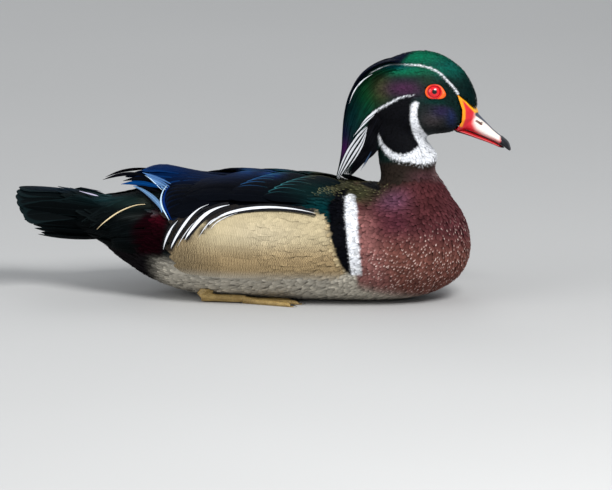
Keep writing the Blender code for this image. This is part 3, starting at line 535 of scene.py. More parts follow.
def primitive(add, name, **sizes):
    """A new primitive with nothing else selected."""
    bpy.ops.object.select_all(action="DESELECT")
    add(**sizes)
    obj = bpy.context.active_object
    obj.name = obj.data.name = name
    return obj


def rounded_form(name, rings, rows, place):
    """A closed round form through rows of its station, its two edges there and its half width. place turns a
    station, a distance to the left and a place between the edges into a point."""
    form = primitive(bpy.ops.mesh.primitive_uv_sphere_add, name, segments=40, ring_count=rings, radius=1)
    for vert in form.data.vertices:
        station, first, second, half = curve(rows, 1 - math.acos(max(-1, min(1, -vert.co.z))) / math.pi)
        turn = math.atan2(vert.co.y, vert.co.x)
        open_here = math.hypot(vert.co.x, vert.co.y) > 1e-6
        between = (first + second) / 2 + (first - second) / 2 * math.cos(turn) * open_here
        vert.co = Vector(place(station, half * math.sin(turn) * open_here, between)) * MM
    return form


def facing_out(obj):
    """Turns the faces of a closed mesh outward."""
    shape = bmesh.new()
    shape.from_mesh(obj.data)
    bmesh.ops.recalc_face_normals(shape, faces=shape.faces)
    shape.to_mesh(obj.data)
    shape.free()


def remeshed(obj, voxel, rounds, name):
    even = obj.modifiers.new("even", "REMESH")
    even.mode = "VOXEL"
    even.voxel_size = voxel * MM
    soft = obj.modifiers.new("soft", "SMOOTH")
    soft.factor = 0.5
    soft.iterations = rounds
    return finished(obj, name)


def vertices_of(obj):
    """The places and outward directions of a mesh's vertices, in millimetres."""
    count = len(obj.data.vertices)
    points, normals = np.zeros(count * 3), np.zeros(count * 3)
    obj.data.vertices.foreach_get("co", points)
    obj.data.vertices.foreach_get("normal", normals)
    return points.reshape(-1, 3) / MM, normals.reshape(-1, 3)


def place_vertices(obj, points):
    obj.data.vertices.foreach_set("co", (points * MM).astype(np.float32).ravel())
    obj.data.update()


# The stump's form: x, its top and underside there, and its half width
STUMP_ROWS = [(-166, 65, 65, 0), (-160, 70, 57, 9), (-145, 73, 50, 18), (-127, 76, 40, 27),
              (-105, 79, 23, 40), (-98, 70, 34, 30), (-96, 52, 52, 0)]


def tail_stump():
    """The flesh behind the torso's cut, which the tail's feathers grow from."""
    return rounded_form("tail_stump", 28, STUMP_ROWS, lambda x, y, z: (x, y, z))


def swell(points):
    """How far the folded wings and the flank pockets stand out from the body, in millimetres."""
    x, _, z = points.T
    girth = girth_of(points)
    total = np.zeros(len(points))
    for edges, height in ((WING_EDGES, 2.0), (FLANK_EDGES, 2.2)):
        rows = np.array(edges, float)
        upper = np.interp(-x, -rows[:, 0], rows[:, 1])
        lower = np.interp(-x, -rows[:, 0], rows[:, 2])
        u = (rows[0, 0] - x) / (rows[0, 0] - rows[-1, 0])
        v = (girth - upper) / np.maximum(lower - upper, 1)
        crown = np.clip(1 - (2 * u - 1) ** 6, 0, 1) * np.clip(1 - (2 * v - 1) ** 6, 0, 1)
        total = np.maximum(total, height * crown * (z < SIDE_TOP_Z) * (x < BREAST_X))
    return total


GROWTH = 0.5
SADDLE = 3.2  # how far the back dips before the tail, in millimetres


def make_flesh():
    """The whole bird's outside in one smooth surface, without the cuts between its solids."""
    whole = node_copy(["torso", "neck", "head"], "flesh", GROWTH)
    stump = tail_stump()
    bpy.ops.object.select_all(action="DESELECT")
    whole.select_set(True)
    stump.select_set(True)
    bpy.context.view_layer.objects.active = whole
    bpy.ops.object.join()
    flesh = remeshed(whole, 1.25, 8, "flesh")
    points, normals = vertices_of(flesh)
    points -= normals * GROWTH
    x, _, z = points.T
    points[:, 2] -= SADDLE * smooth(-76, -100, x) * smooth(-150, -124, x) * smooth(60, 76, z)
    place_vertices(flesh, points)
    return flesh


def depth_of(points):
    """How far under the coat's outside the skin lies."""
    return HEAD_DEPTH + (SKIN_DEPTH - HEAD_DEPTH) * smooth(125, 95, points[:, 2])


def lie(points):
    """The way that feathers point at places, how far along the bird they are from the bill, in millimetres,
    and their angle round the line that the feathers lie along."""
    line = np.array([(x, 0, z) for x, z in LIE], float)
    ways = unit(np.gradient(line, axis=0))
    reach = np.concatenate([[0], np.cumsum(np.linalg.norm(np.diff(line, axis=0), axis=1))])
    away = np.linalg.norm(points[:, None] - line[None], axis=2)
    weight = 1 / (away**2 + 4) ** 2
    weight /= weight.sum(1, keepdims=True)
    way = unit(weight @ ways)
    back = np.stack([way[:, 2], np.zeros(len(points)), -way[:, 0]], 1)
    rise = ((points - weight @ line) * back).sum(1)
    return way, weight @ reach, np.degrees(np.arctan2(points[:, 1], rise))


# Vanes and the pieces made of them


def vanes(spine, face, half, columns, curl, thick, roll):
    """Closed vanes along spines, in millimetres. spine and face are (vane, row, axis), half is (vane, row),
    curl is how fast a vane's edges fall and roll its turn about its length, in degrees. Gives the vertices,
    and for each how far it is across and along, as lengths and as shares."""
    along = unit(np.gradient(spine, axis=1))
    across = unit(np.cross(face, along))
    up = np.cross(along, across)
    turn = np.radians(np.broadcast_to(roll, len(spine)))[:, None, None]
    across, up = across * np.cos(turn) + up * np.sin(turn), up * np.cos(turn) - across * np.sin(turn)
    top = np.linspace(-1, 1, columns + 1)
    ring = np.concatenate([top, top[-2:0:-1]])
    layer = np.concatenate([np.ones(columns + 1), -np.ones(columns - 1)]) * (1 - ring**2) * thick / 2
    wide = half[:, :, None] * ring
    bend = np.broadcast_to(curl, len(spine))[:, None, None] * wide**2
    points = spine[:, :, None] + across[:, :, None] * wide[..., None]
    points += up[:, :, None] * (layer - bend)[..., None]
    steps = np.linalg.norm(np.diff(spine, axis=1), axis=2)
    length = np.concatenate([np.zeros((len(spine), 1)), np.cumsum(steps, axis=1)], axis=1)
    shares = length / length[:, -1:]
    others = (length[..., None], np.abs(ring), shares[..., None])
    places = [wide] + [np.broadcast_to(part, wide.shape) for part in others]
    places = np.stack(places, axis=-1)
    return points.reshape(len(spine), -1, 3), places.reshape(len(spine), -1, 4)


def ring_faces(rows, columns):
    """The faces of one vane, each a list of vertex numbers: its skin in quads, and its two ends."""
    around = 2 * columns
    faces = []
    for row in range(rows - 1):
        for k in range(around):
            a, b = row * around + k, row * around + (k + 1) % around
            faces.append([a, a + around, b + around, b])
    faces.append(list(range(around)))
    faces.append([(rows - 1) * around + k for k in reversed(range(around))])
    return faces


def quadratic(first, middle, last, shares):
    """Smooth lines through three points each: (line, share, axis)."""
    t = np.asarray(shares)[None, :, None]
    first, middle, last = (p[:, None] for p in (first, middle, last))
    return first * (2 * t - 1) * (t - 1) + middle * 4 * t * (1 - t) + last * t * (2 * t - 1)


def profile(shares, root=0.5, peak=0.5, sharp=2.0, tip=0.1, blunt=1.0):
    """A vane's half width along its length, as a share of its greatest."""
    t = np.asarray(shares)
    swell_up = root + (1 - root) * np.minimum(1, t / peak)
    taper = (1 - np.maximum(0, (t - peak) / (1 - peak)) ** sharp) ** blunt
    return np.maximum(swell_up * taper, tip)


PATCH = 0.003  # how large a feather is in its piece's flat picture
SHARP_EDGE = 50  # faces that meet at more than this are shaded apart, in degrees
FLOOR_ROOM = 0.5  # feathers lower than this are pressed flat on the floor, in millimetres


class Coat:
    """A piece of plumage, made as one mesh of many vanes."""

    def __init__(self, name, finish, slot):
        self.name, self.finish, self.slot = name, finish, slot
        self.batches, self.size = [], 0

    def add(self, spine, face, half, painter, columns=2, curl=0.0, thick=0.14, roll=0.0, follow=1.0,
            shade=0.1, breadth=1.0):
        """Lays vanes. follow is how much the colour changes along a vane with its own place, and not with its
        root's, breadth how much it changes across it, and shade how unlike in brightness the vanes are."""
        if not len(spine):
            return
        points, places = vanes(spine, face, half, columns, curl, thick, roll)
        low = np.minimum(points[..., 2] / FLOOR_ROOM, 1)
        points[..., 2] = np.where(low < 1, FLOOR_ROOM * np.exp(low - 1), points[..., 2])
        count, each = points.shape[:2]
        middles = spine.repeat(each // spine.shape[1], axis=1)
        roots = spine[:, :1] * 0.4 + spine[:, len(spine[0]) // 2, None] * 0.6
        painted = painter((roots + (middles + (points - middles) * breadth - roots) * follow).reshape(-1, 3))
        draw = np.random.default_rng(count)
        uneven = np.exp(shade * draw.normal(size=count)).repeat(each)
        tint = np.clip(painted.tint * uneven[:, None], 0, 0.95)
        _, station, girth = lie(spine[:, 0])
        faces = ring_faces(spine.shape[1], columns)
        firsts = self.size + np.arange(count) * each
        self.size += count * each
        self.batches.append({
            "points": points.reshape(-1, 3), "places": places.reshape(-1, 4), "tint": tint,
            "gloss": painted.gloss, "trim": painted.trim, "amount": painted.amount,
            "flat": np.stack([station, girth], 1).repeat(each, axis=0),
            "corners": (np.concatenate(faces) + firsts[:, None]).ravel(),
            "totals": np.tile([len(face) for face in faces], count),
        })

    def make(self, *replaced):
        whole = {key: np.concatenate([batch[key] for batch in self.batches]) for key in self.batches[0]}
        places, flat, corners, totals = (whole[key] for key in ("places", "flat", "corners", "totals"))
        mesh = bpy.data.meshes.new(self.name)
        mesh.vertices.add(self.size)
        mesh.vertices.foreach_set("co", (whole["points"] * MM).astype(np.float32).ravel())
        mesh.loops.add(len(corners))
        mesh.loops.foreach_set("vertex_index", corners.astype(np.int32))
        mesh.polygons.add(len(totals))
        mesh.polygons.foreach_set("loop_start", (np.cumsum(totals) - totals).astype(np.int32))
        mesh.polygons.foreach_set("loop_total", totals.astype(np.int32))
        mesh.update(calc_edges=True)
        mesh.validate()
        write_colour(mesh, "vane", places)
        write_colour(mesh, "tint", np.column_stack([whole["tint"], whole["gloss"]]))
        write_colour(mesh, "trim", np.column_stack([whole["trim"], whole["amount"]]))
        low, high = flat.min(0), flat.max(0)
        across = places[:, 0] / max(np.abs(places[:, 0]).max(), 1e-6) / 2
        spots = 0.01 + 0.98 * (flat - low) / (high - low) + np.stack([across, places[:, 3] - 0.5], 1) * PATCH
        layer = mesh.uv_layers.new(name="OFBake", do_init=False)
        layer.uv.foreach_set("vector", np.clip(spots, 0, 1)[corners].astype(np.float32).ravel())
        dressed(link(mesh, self.name), self.finish, self.slot, *replaced)
        mesh.set_sharp_from_angle(angle=math.radians(SHARP_EDGE))


def write_colour(mesh, name, values):
    layer = mesh.attributes.new(name, "FLOAT_COLOR", "POINT")
    layer.data.foreach_set("color", values.astype(np.float32).ravel())


def settle(obj, slot, *replaced):
    """Ties a finished piece to the bird and hides the solids that it stands for. slot is not used."""
    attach(obj, "root")
    if replaced:
        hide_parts(*replaced)


def dressed(obj, finish, slot, *replaced):
    obj.data.shade_smooth()
    obj.data.materials.clear()
    obj.data.materials.append(finish)
    settle(obj, slot, *replaced)


def coloured(obj, paint, finish, slot, *replaced, strength=1.0):
    """Dresses a piece whose colours and gloss are in its vertices. strength dims the colours, as painted
    shade.
    """
    write_colour(obj.data, "tint", np.column_stack([paint.tint * strength, paint.gloss]))
    dressed(obj, finish, slot, *replaced)


# Finishes


class Value:
    """A node's output in a material. Arithmetic on it adds Math nodes."""

    def __init__(self, finish, socket):
        self.finish, self.socket = finish, socket

    def math(self, operation, *others):
        return self.finish.node("ShaderNodeMath", dict(enumerate((self, *others))), operation=operation)

    def __add__(self, other):
        return self.math("ADD", other)

    def __mul__(self, other):
        return self.math("MULTIPLY", other)

    def __sub__(self, other):
        return self.math("SUBTRACT", other)

    def __rsub__(self, other):
        return self.finish.node("ShaderNodeMath", {0: other, 1: self}, operation="SUBTRACT")

    def __truediv__(self, other):
        return self.math("DIVIDE", other)

    def __pow__(self, other):
        return self.math("POWER", other)

    __radd__ = __add__
    __rmul__ = __mul__

    def step(self, low, high):
        """0 below low, 1 above high, and a soft step between. low may be above high."""
        values = {"Value": self, "From Min": low, "From Max": high}
        return self.finish.node("ShaderNodeMapRange", values, interpolation_type="SMOOTHSTEP")


class Finish:
    """A material whose patterns are written as expressions."""

    def __init__(self, name, **settings):
        self.material = bpy.data.materials.new(name)
        self.material.use_nodes = True
        self.tree = self.material.node_tree
        self.shader = self.tree.nodes["Principled BSDF"]
        for key, value in settings.items():
            self.shader.inputs[key.replace("_", " ")].default_value = value

    def node(self, kind, values=None, output=0, **settings):
        """A new node: its settings, then the values or links of its sockets."""
        made = self.tree.nodes.new(kind)
        for key, value in settings.items():
            setattr(made, key, value)
        for key, value in (values or {}).items():
            self.feed(made.inputs[key], value)
        return Value(self, made.outputs[output])

    def feed(self, socket, value):
        if isinstance(value, Value):
            self.tree.links.new(value.socket, socket)
        else:
            socket.default_value = value

    def drive(self, **values):
        for key, value in values.items():
            self.feed(self.shader.inputs[key.replace("_", " ")], value)

    def attribute(self, name, output="Color"):
        return self.node("ShaderNodeAttribute", output=output, attribute_name=name)

    def parts(self, vector):
        return [self.node("ShaderNodeSeparateXYZ", {0: vector}, output=k) for k in range(3)]

    def place(self):
        return self.node("ShaderNodeTexCoord", output="Object")

    def noise(self, size, detail, where=None):
        """Cloudy noise from 0 to 1, in patches of about this many metres."""
        values = {"Vector": where or self.place(), "Scale": 1 / size, "Detail": detail, "Roughness": 0.5}
        return self.node("ShaderNodeTexNoise", values)

    def mixed(self, share, first, second):
        values = {0: share, 6: first, 7: second}
        return self.node("ShaderNodeMix", values, output=2, data_type="RGBA")

    def vectors(self, operation, values, output=0):
        return self.node("ShaderNodeVectorMath", values, output, operation=operation)

    def scaled(self, colour, factor):
        return self.vectors("SCALE", {0: colour, "Scale": factor})

    def bump(self, height, distance, strength):
        values = {"Height": height, "Distance": distance, "Strength": strength}
        self.drive(Normal=self.node("ShaderNodeBump", values))


BARB = 0.42  # millimetres from one barb to the next
TURN = 2 * math.pi


def plumage(name, metal, use="edge", barb=0.18, shaft=0.0, rough=0.62, shine=0.30, lines=1.0, root=0.45,
            mirror=0.2):
    """A finish for feathers: barbs that slant from the shaft, a root painted darker as shade where the
    feathers overlap, and the use of the trim as the feather's edge, a spot in its tip or fine lines across
    it."""
    finish = Finish(name, Roughness=rough, Specular_IOR_Level=mirror)
    vane = finish.attribute("vane")
    across, along, spread = finish.parts(vane)
    share = finish.attribute("vane", "Alpha")
    gloss = finish.attribute("tint", "Alpha")
    amount = finish.attribute("trim", "Alpha")
    beside = across.math("ABSOLUTE")
    cloud = finish.noise(0.004, 2.0)
    slant = (along - beside * 0.9) / BARB + cloud * 1.5
    comb = (slant * TURN).math("SINE") * 0.5 + 0.5
    quill = beside.step(0.26, 0.08)
    if use == "edge":
        shown = (spread * spread * 0.8 + share**6.0 * 0.9).step(0.6, 0.84)
    elif use == "spot":
        shown = (share - spread * 0.35).step(0.66, 0.8)
    else:
        wander = finish.noise(0.0022, 2.0)
        shown = (((along / lines + wander * 1.6) * TURN).math("SINE") * 0.5 + 0.5).step(0.45, 0.85)
    colour = finish.mixed(shown * amount, finish.attribute("tint"), finish.attribute("trim"))
    # Painted shade: each vane darkens towards its root, by root, as if shaded by the feathers over it.
    barbs_and_root_shade = (share * root + (1 - root * 0.85)) * (1 - comb * barb) * (1 + quill * shaft)
    finish.drive(
        Base_Color=finish.scaled(colour, barbs_and_root_shade * (cloud * 0.3 + 0.85)),
        Roughness=rough - gloss * shine + comb * 0.08,
        Metallic=gloss * metal,
    )
    finish.bump(comb * 0.6 + quill * 1.2 + cloud * 0.5, 0.00009, 0.5)
    return finish.material


def painted_finish(name):
    """A finish for smooth pieces that carry their colours and gloss in their vertices."""
    finish = Finish(name, Roughness=0.7, Specular_IOR_Level=0.1)
    cloud = finish.noise(0.003, 3.0)
    finish.drive(
        Base_Color=finish.scaled(finish.attribute("tint"), cloud * 0.3 + 0.85),
        Roughness=0.7 - finish.attribute("tint", "Alpha") * 0.3 + cloud * 0.05,
    )
    finish.bump(finish.noise(0.0006, 3.0), 0.00004, 0.6)
    return finish.material


def horn_finish():
    """The bill's skin: smooth and a little waxy, with fine pores and grain."""
    finish = Finish("bill_skin", Roughness=0.35, Coat_Weight=0.12, Coat_Roughness=0.2, Subsurface_Weight=0.08,
                    Specular_IOR_Level=0.35)
    finish.shader.inputs["Subsurface Radius"].default_value = (0.0015, 0.0006, 0.0003)
    cloud = finish.noise(0.0018, 3.0)
    grain = finish.noise(0.00035, 2.0)
    finish.drive(
        Base_Color=finish.scaled(finish.attribute("tint"), cloud * 0.24 + 0.88),
        Roughness=cloud * 0.2 + 0.26,
    )
    finish.bump(grain * 0.5 + cloud, 0.00006, 0.5)
    return finish.material


def scale_finish():
    """The feet: small raised scales, darker between them and on the webs."""
    finish = Finish("foot_skin", Roughness=0.5)
    cells = {"Vector": finish.place(), "Scale": 1 / 0.0013}
    edge = finish.node("ShaderNodeTexVoronoi", cells, feature="DISTANCE_TO_EDGE")
    plate = edge.step(0.0, 0.12)
    cloud = finish.noise(0.006, 3.0)
    colour = finish.mixed(cloud.step(0.3, 0.7), (0.30, 0.19, 0.055, 1), (0.42, 0.29, 0.10, 1))
    colour = finish.mixed(finish.attribute("tint", "Alpha"), colour, (0.030, 0.026, 0.020, 1))
    finish.drive(Base_Color=finish.scaled(colour, plate * 0.45 + 0.55), Roughness=0.62 - plate * 0.2)
    finish.bump(plate, 0.00018, 0.8)
    return finish.material


def claw_finish():
    finish = Finish("claw_horn", Roughness=0.3)
    cloud = finish.noise(0.0012, 2.0)
    finish.drive(Base_Color=finish.mixed(cloud, (0.010, 0.009, 0.008, 1), (0.035, 0.028, 0.020, 1)))
    finish.bump(cloud, 0.00005, 0.5)
    return finish.material


def from_axis(finish, centre, out):
    """How far a place is from the line through an eye's centre and pupil, in millimetres, and its offset."""
    offset = finish.vectors("SUBTRACT", {0: finish.place(), 1: tuple(centre * MM)})
    depth = finish.vectors("DOT_PRODUCT", {0: offset, 1: tuple(out)}, 1)
    size = finish.vectors("LENGTH", {0: offset}, 1)
    return (size * size - depth * depth).math("MAXIMUM", 0.0).math("SQRT") * (1 / MM), offset


def lid_finish(centre, out):
    """The bare rim of the eye: red within, orange at its outer edge, with small beads of skin."""
    finish = Finish("lid_skin_" + str(len(bpy.data.materials)), Roughness=0.42, Specular_IOR_Level=0.35)
    cells = finish.node("ShaderNodeTexVoronoi", {"Vector": finish.place(), "Scale": 1 / 0.0007})
    cloud = finish.noise(0.002, 2.0)
    radius, _ = from_axis(finish, centre, out)
    red = finish.mixed(cloud, (0.42, 0.0, 0.003, 1), (0.60, 0.006, 0.004, 1))
    outer = (radius + cloud * 0.6).step(5.7, 6.6) * 0.9
    finish.drive(Base_Color=finish.mixed(outer, red, (0.86, 0.115, 0.006, 1)))
    finish.bump(1 - cells, 0.00012, 0.7)
    return finish.material


def eye_finish(label, centre, out):
    """A black pupil in a red iris with fine spokes and a dark rim, under a clear, wet cornea."""
    finish = Finish("eye_" + label, Roughness=0.3, Coat_Weight=0.8, Coat_Roughness=0.02,
                    Specular_IOR_Level=0.2)
    radius, offset = from_axis(finish, centre, out)
    spokes = finish.noise(0.09, 4.0, finish.vectors("NORMALIZE", {0: offset}))
    iris = finish.mixed(spokes.step(0.35, 0.65), (0.50, 0.0, 0.006, 1), (0.80, 0.006, 0.012, 1))
    iris = finish.mixed(radius.step(3.7, 4.6) * 0.85, iris, (0.10, 0.0, 0.002, 1))
    iris = finish.mixed(radius.step(2.6, 2.0) * 0.5, iris, (0.30, 0.0, 0.004, 1))
    colour = finish.mixed(radius.step(1.95, 1.75), iris, (0.002, 0.002, 0.002, 1))
    finish.drive(Base_Color=colour)
    return finish.material


# Contour feathers over the body


TRIES = 4  # how many random places are drawn for each one that there is room for


def scattered(surface, spacing, seed):
    """Random places on a surface, no two nearer than the spacing there, with the outward directions."""
    draw = np.random.default_rng(seed)
    corners = surface.points[surface.triangles]
    area = np.linalg.norm(np.cross(corners[:, 1] - corners[:, 0], corners[:, 2] - corners[:, 0]), axis=1) / 2
    apart = spacing(corners.mean(1))
    wanted = np.where(apart > 0, area / np.maximum(apart, 0.1) ** 2, 0)
    total = int(wanted.sum() * TRIES)
    chosen = draw.choice(len(area), total, p=wanted / wanted.sum())
    a, b = draw.random(total), draw.random(total)
    over = a + b > 1
    a[over], b[over] = 1 - a[over], 1 - b[over]
    share = np.stack([1 - a - b, a, b], 1)
    points = (corners[chosen] * share[..., None]).sum(1)
    normals = unit((surface.normals[surface.triangles[chosen]] * share[..., None]).sum(1))
    apart = spacing(points)
    tree = KDTree(total)
    for k, point in enumerate(points):
        tree.insert(point, k)
    tree.balance()
    free = np.ones(total, bool)
    kept = []
    for k in range(total):
        if free[k] and apart[k] > 0:
            kept.append(k)
            for _, other, _ in tree.find_range(points[k], apart[k]):
                free[other] = False
    return points[kept], normals[kept], apart[kept]


def on_head(points):
    """Which places belong to the head and its collar."""
    return (points[:, 2] > 97 + 0.15 * (points[:, 0] - 110)) & (points[:, 0] > 78)


def spacing_on(points):
    """How far apart contour feathers grow, in millimetres."""
    x, _, z = points.T
    upper = smooth(88, 126, z) * smooth(70, 84, x)
    front = smooth(60, 74, x)
    apart = 2.6 - 0.55 * front - 0.8 * upper
    apart -= 0.2 * smooth(128, 146, x) * smooth(120, 128, z)
    spots = seen(points)
    apart -= 0.5 * np.maximum(inside(spots, WHITE_BAR, 3), inside(spots, BLACK_BAR, 2)) * (x > 40)
    apart *= 1 + 0.1 * smooth(-60, -100, x)
    return apart * 1.0


RIM_START = 4.55  # how far the eye's bare rim starts from its middle, in millimetres
RIM_HEIGHT = 0.94  # its height as a share of its length
RIM_FOLDS = 26


def rim_reach(turn):
    """How far the eye's bare rim reaches from its middle, with a corner to the front and down."""
    return 6.1 + 0.9 * np.cos(turn) ** 2 + 2.4 * np.maximum(0, np.cos(turn + 0.42)) ** 8


def in_rim(points, margin):
    ahead, above = points[:, 0] - EYE_X, (points[:, 2] - EYE_Z) / RIM_HEIGHT
    reach = rim_reach(np.arctan2(above, ahead)) - margin
    return (np.hypot(ahead, above) < reach) & (np.abs(points[:, 1]) > 6)


def bare(points, tips, beaks):
    """Which feathers aren't there: those rooted under the bill, and in the eyes and their rims."""
    found = in_rim(points, 0.2) | in_rim(tips, 0.9)
    for k in np.flatnonzero(points[:, 2] > 120):
        found[k] |= min(tree.find_nearest(points[k])[3] for tree in beaks) < 0.35
    return found


def tree_of(nodes):
    copy = node_copy(nodes, "probe")
    surface = Surface(copy)
    bpy.data.objects.remove(copy, do_unlink=True)
    return surface.tree


def above_wing_edge(points):
    """Which places are nearer the back than the folded wing's lower edge."""
    return girth_of(points) < np.interp(-points[:, 0], *WING_LOWER_EDGE)


def regions_of(points, rise):
    """The places that each piece of the coat covers, its painter, finish, slot and a feather's rows."""
    x, y, z = points.T
    on_side = (x > SIDE_REACH[0]) & (x < SIDE_REACH[1]) & (z < SIDE_TOP_Z) & (rise > STANDING)
    wing = on_side & above_wing_edge(points)
    flank = on_side & ~wing
    flank |= (inside(seen(points), FLANK_FRONT) > 0.5) & (x > 30) & (z > 25) & ~wing
    head = on_head(points)
    front = ~head & (x > BREAST_X) & ~flank
    rear = ~head & ~front & (x < RUMP_X)
    under = ~head & ~front & ~rear & (z < BELLY_Z) & ~flank
    rest = ~(head | front | rear | under | wing | flank)
    sides = {"right": y < 0, "left": y >= 0}
    regions = {}
    for label, here in sides.items():
        regions["head_coat_" + label] = (head & here, head_paint, "head", "plumage_head", 3)
    regions["breast_coat"] = (front, breast_paint, "breast", "plumage_body", 4)
    regions["rump_coat"] = (rear, body_paint, "tail", "plumage_body", 4)
    regions["belly_coat"] = (under, body_paint, "body", "plumage_body", 4)
    regions["mantle_coat"] = (rest, body_paint, "mantle", "plumage_body", 4)
    for part, mask, painter in (("wing", wing, wing_paint), ("flank", flank, flank_paint)):
        for label, here in sides.items():
            regions[f"{part}_coat_{label}"] = (mask & here, painter, part, "plumage_" + part, 4)
    return regions


def row_shares(rows):
    """The shares of a feather's length that its rows are at, closer towards the tip."""
    return np.sin(np.linspace(0, 1, rows) * math.pi / 2)


SPECKLED = 0.62  # the share of the breast's feathers that have a white spot


def contour_coat(flesh, finishes):
    """Small feathers all over the bird, in the lie of its coat, as one piece for each region."""
    beaks = [tree_of(["bill_upper"]), tree_of(["bill_lower"])]
    points, normals, apart = scattered(flesh, spacing_on, 3)
    keep = ~bare(points, points + lie(points)[0] * apart[:, None] * 2.4, beaks) & (points[:, 0] > -150)
    points, normals, apart = points[keep], normals[keep], apart[keep]
    rise = swell(points)
    draw = np.random.default_rng(11)
    way, _, _ = lie(points)
    way += draw.normal(scale=0.10, size=way.shape)
    way = unit(way - normals * (way * normals).sum(1, keepdims=True))
    head = smooth(100, 128, points[:, 2]) * smooth(70, 84, points[:, 0])
    on_flank = (rise > STANDING) & (girth_of(points) > 58)
    long = apart * (3.3 - 0.5 * head) * draw.uniform(0.85, 1.18, len(apart)) * np.where(on_flank, 1.4, 1)
    half = apart * (0.95 - 0.12 * head) * draw.uniform(0.85, 1.12, len(apart)) * np.where(on_flank, 1.15, 1)
    root_depth = 0.55 * depth_of(points)
    middle, middle_out = flesh.nearest(points + way * long[:, None] * 0.45)
    tip, tip_out = flesh.nearest(points + way * long[:, None] * 0.9)
    stand = (0.34 - 0.16 * head) * draw.uniform(0.5, 1.6, len(apart)) * np.where(on_flank, 0.35, 1)
    first = points + normals * (rise - root_depth)[:, None]
    centre = middle + middle_out * (swell(middle) - 0.1 * root_depth)[:, None]
    last = tip + tip_out * (swell(tip) + stand)[:, None]
    roll = draw.normal(scale=4, size=len(apart))

    made = {}
    for name, (mask, painter, finish, slot, rows) in regions_of(points, rise).items():
        shares = row_shares(rows)
        spine = quadratic(first[mask], centre[mask], last[mask], shares)
        leaning = shares[None, :, None]
        face = unit(normals[mask][:, None] * (1 - leaning) + tip_out[mask][:, None] * leaning)
        wide = half[mask][:, None] * profile(shares, 0.6, 0.6, 2.4, 0.3)[None]
        coat = made[name] = Coat(name, finishes[finish], slot)
        if painter is breast_paint:
            speckled = draw.random(mask.sum()) < SPECKLED
            for group, own_paint in ((speckled, breast_paint), (~speckled, body_paint)):
                coat.add(spine[group], face[group], wide[group], own_paint, curl=0.03, roll=roll[mask][group],
                         shade=0.16)
        else:
            coat.add(
                spine, face, wide, painter, curl=0.012 if painter is flank_paint else 0.03, roll=roll[mask],
                follow=0.7 if name == "rump_coat" or painter is wing_paint else 1.0,
                shade=0.07 if painter in (head_paint, flank_paint) else 0.12,
            )
    return made


# Feathers of the wings, flanks, tail and crest


def feather_spine(places, rows):
    """A smooth line through three places or more, and the shares of its length that its rows are at."""
    shares = row_shares(rows)
    if len(places) > 3:
        return curve(places, shares), shares
    return quadratic(*np.array(places, float)[:, None], shares)[0], shares


class Tract:
    """Long feathers of one shape, gathered one by one and then added to a coat together."""

    def __init__(self, rows=12, columns=6, **shape):
        self.rows, self.columns, self.shape = rows, columns, shape
        self.spines, self.faces, self.halves, self.rolls = [], [], [], []
        self.draw = np.random.default_rng(rows * 100 + columns)

    def one(self, points, faces, half, roll=0.0, ragged=0.03):
        spine, shares = feather_spine(points, self.rows)
        first, last = np.array(faces, float)
        self.spines.append(spine)
        self.faces.append(unit(first * (1 - shares[:, None]) + last * shares[:, None]))
        self.halves.append(half * profile(shares, **self.shape) * (1 - ragged * self.draw.random(self.rows)))
        self.rolls.append(roll)

    def give(self, coat, painter, **options):
        spines, faces, halves = np.array(self.spines), np.array(self.faces), np.array(self.halves)
        coat.add(spines, faces, halves, painter, self.columns, roll=np.array(self.rolls), **options)


def laid(tract, flesh, side, start, end, lifts, half, roll=7.0):
    """A feather that lies on the body from one place to another, each an x and a girth angle."""
    middle = [(a + b) / 2 for a, b in zip(start, end)]
    spots = [flesh.at(x, side * girth, lift) for (x, girth), lift in zip((start, middle, end), lifts)]
    tract.one([spot for spot, _ in spots], (spots[0][1], spots[2][1]), half, side * roll)


def edged(painter, trim, amount):
    """A painter whose feathers all have this trim."""

    def paint(points):
        painted = painter(points)
        painted.trim[:] = trim
        painted.amount[:] = amount
        return painted

    return paint


def primary_paint(points):
    """Black that turns blue at the very ends."""
    painted = wing_paint(points)
    spots = seen(points)
    ends = smooth(150, 132, spots[:, 0]) * smooth(179, 183, spots[:, 1])
    painted.lay(ends * 0.9, (0.001, 0.050, 0.190), 0.9)
    painted.amount[:] = 0
    return painted


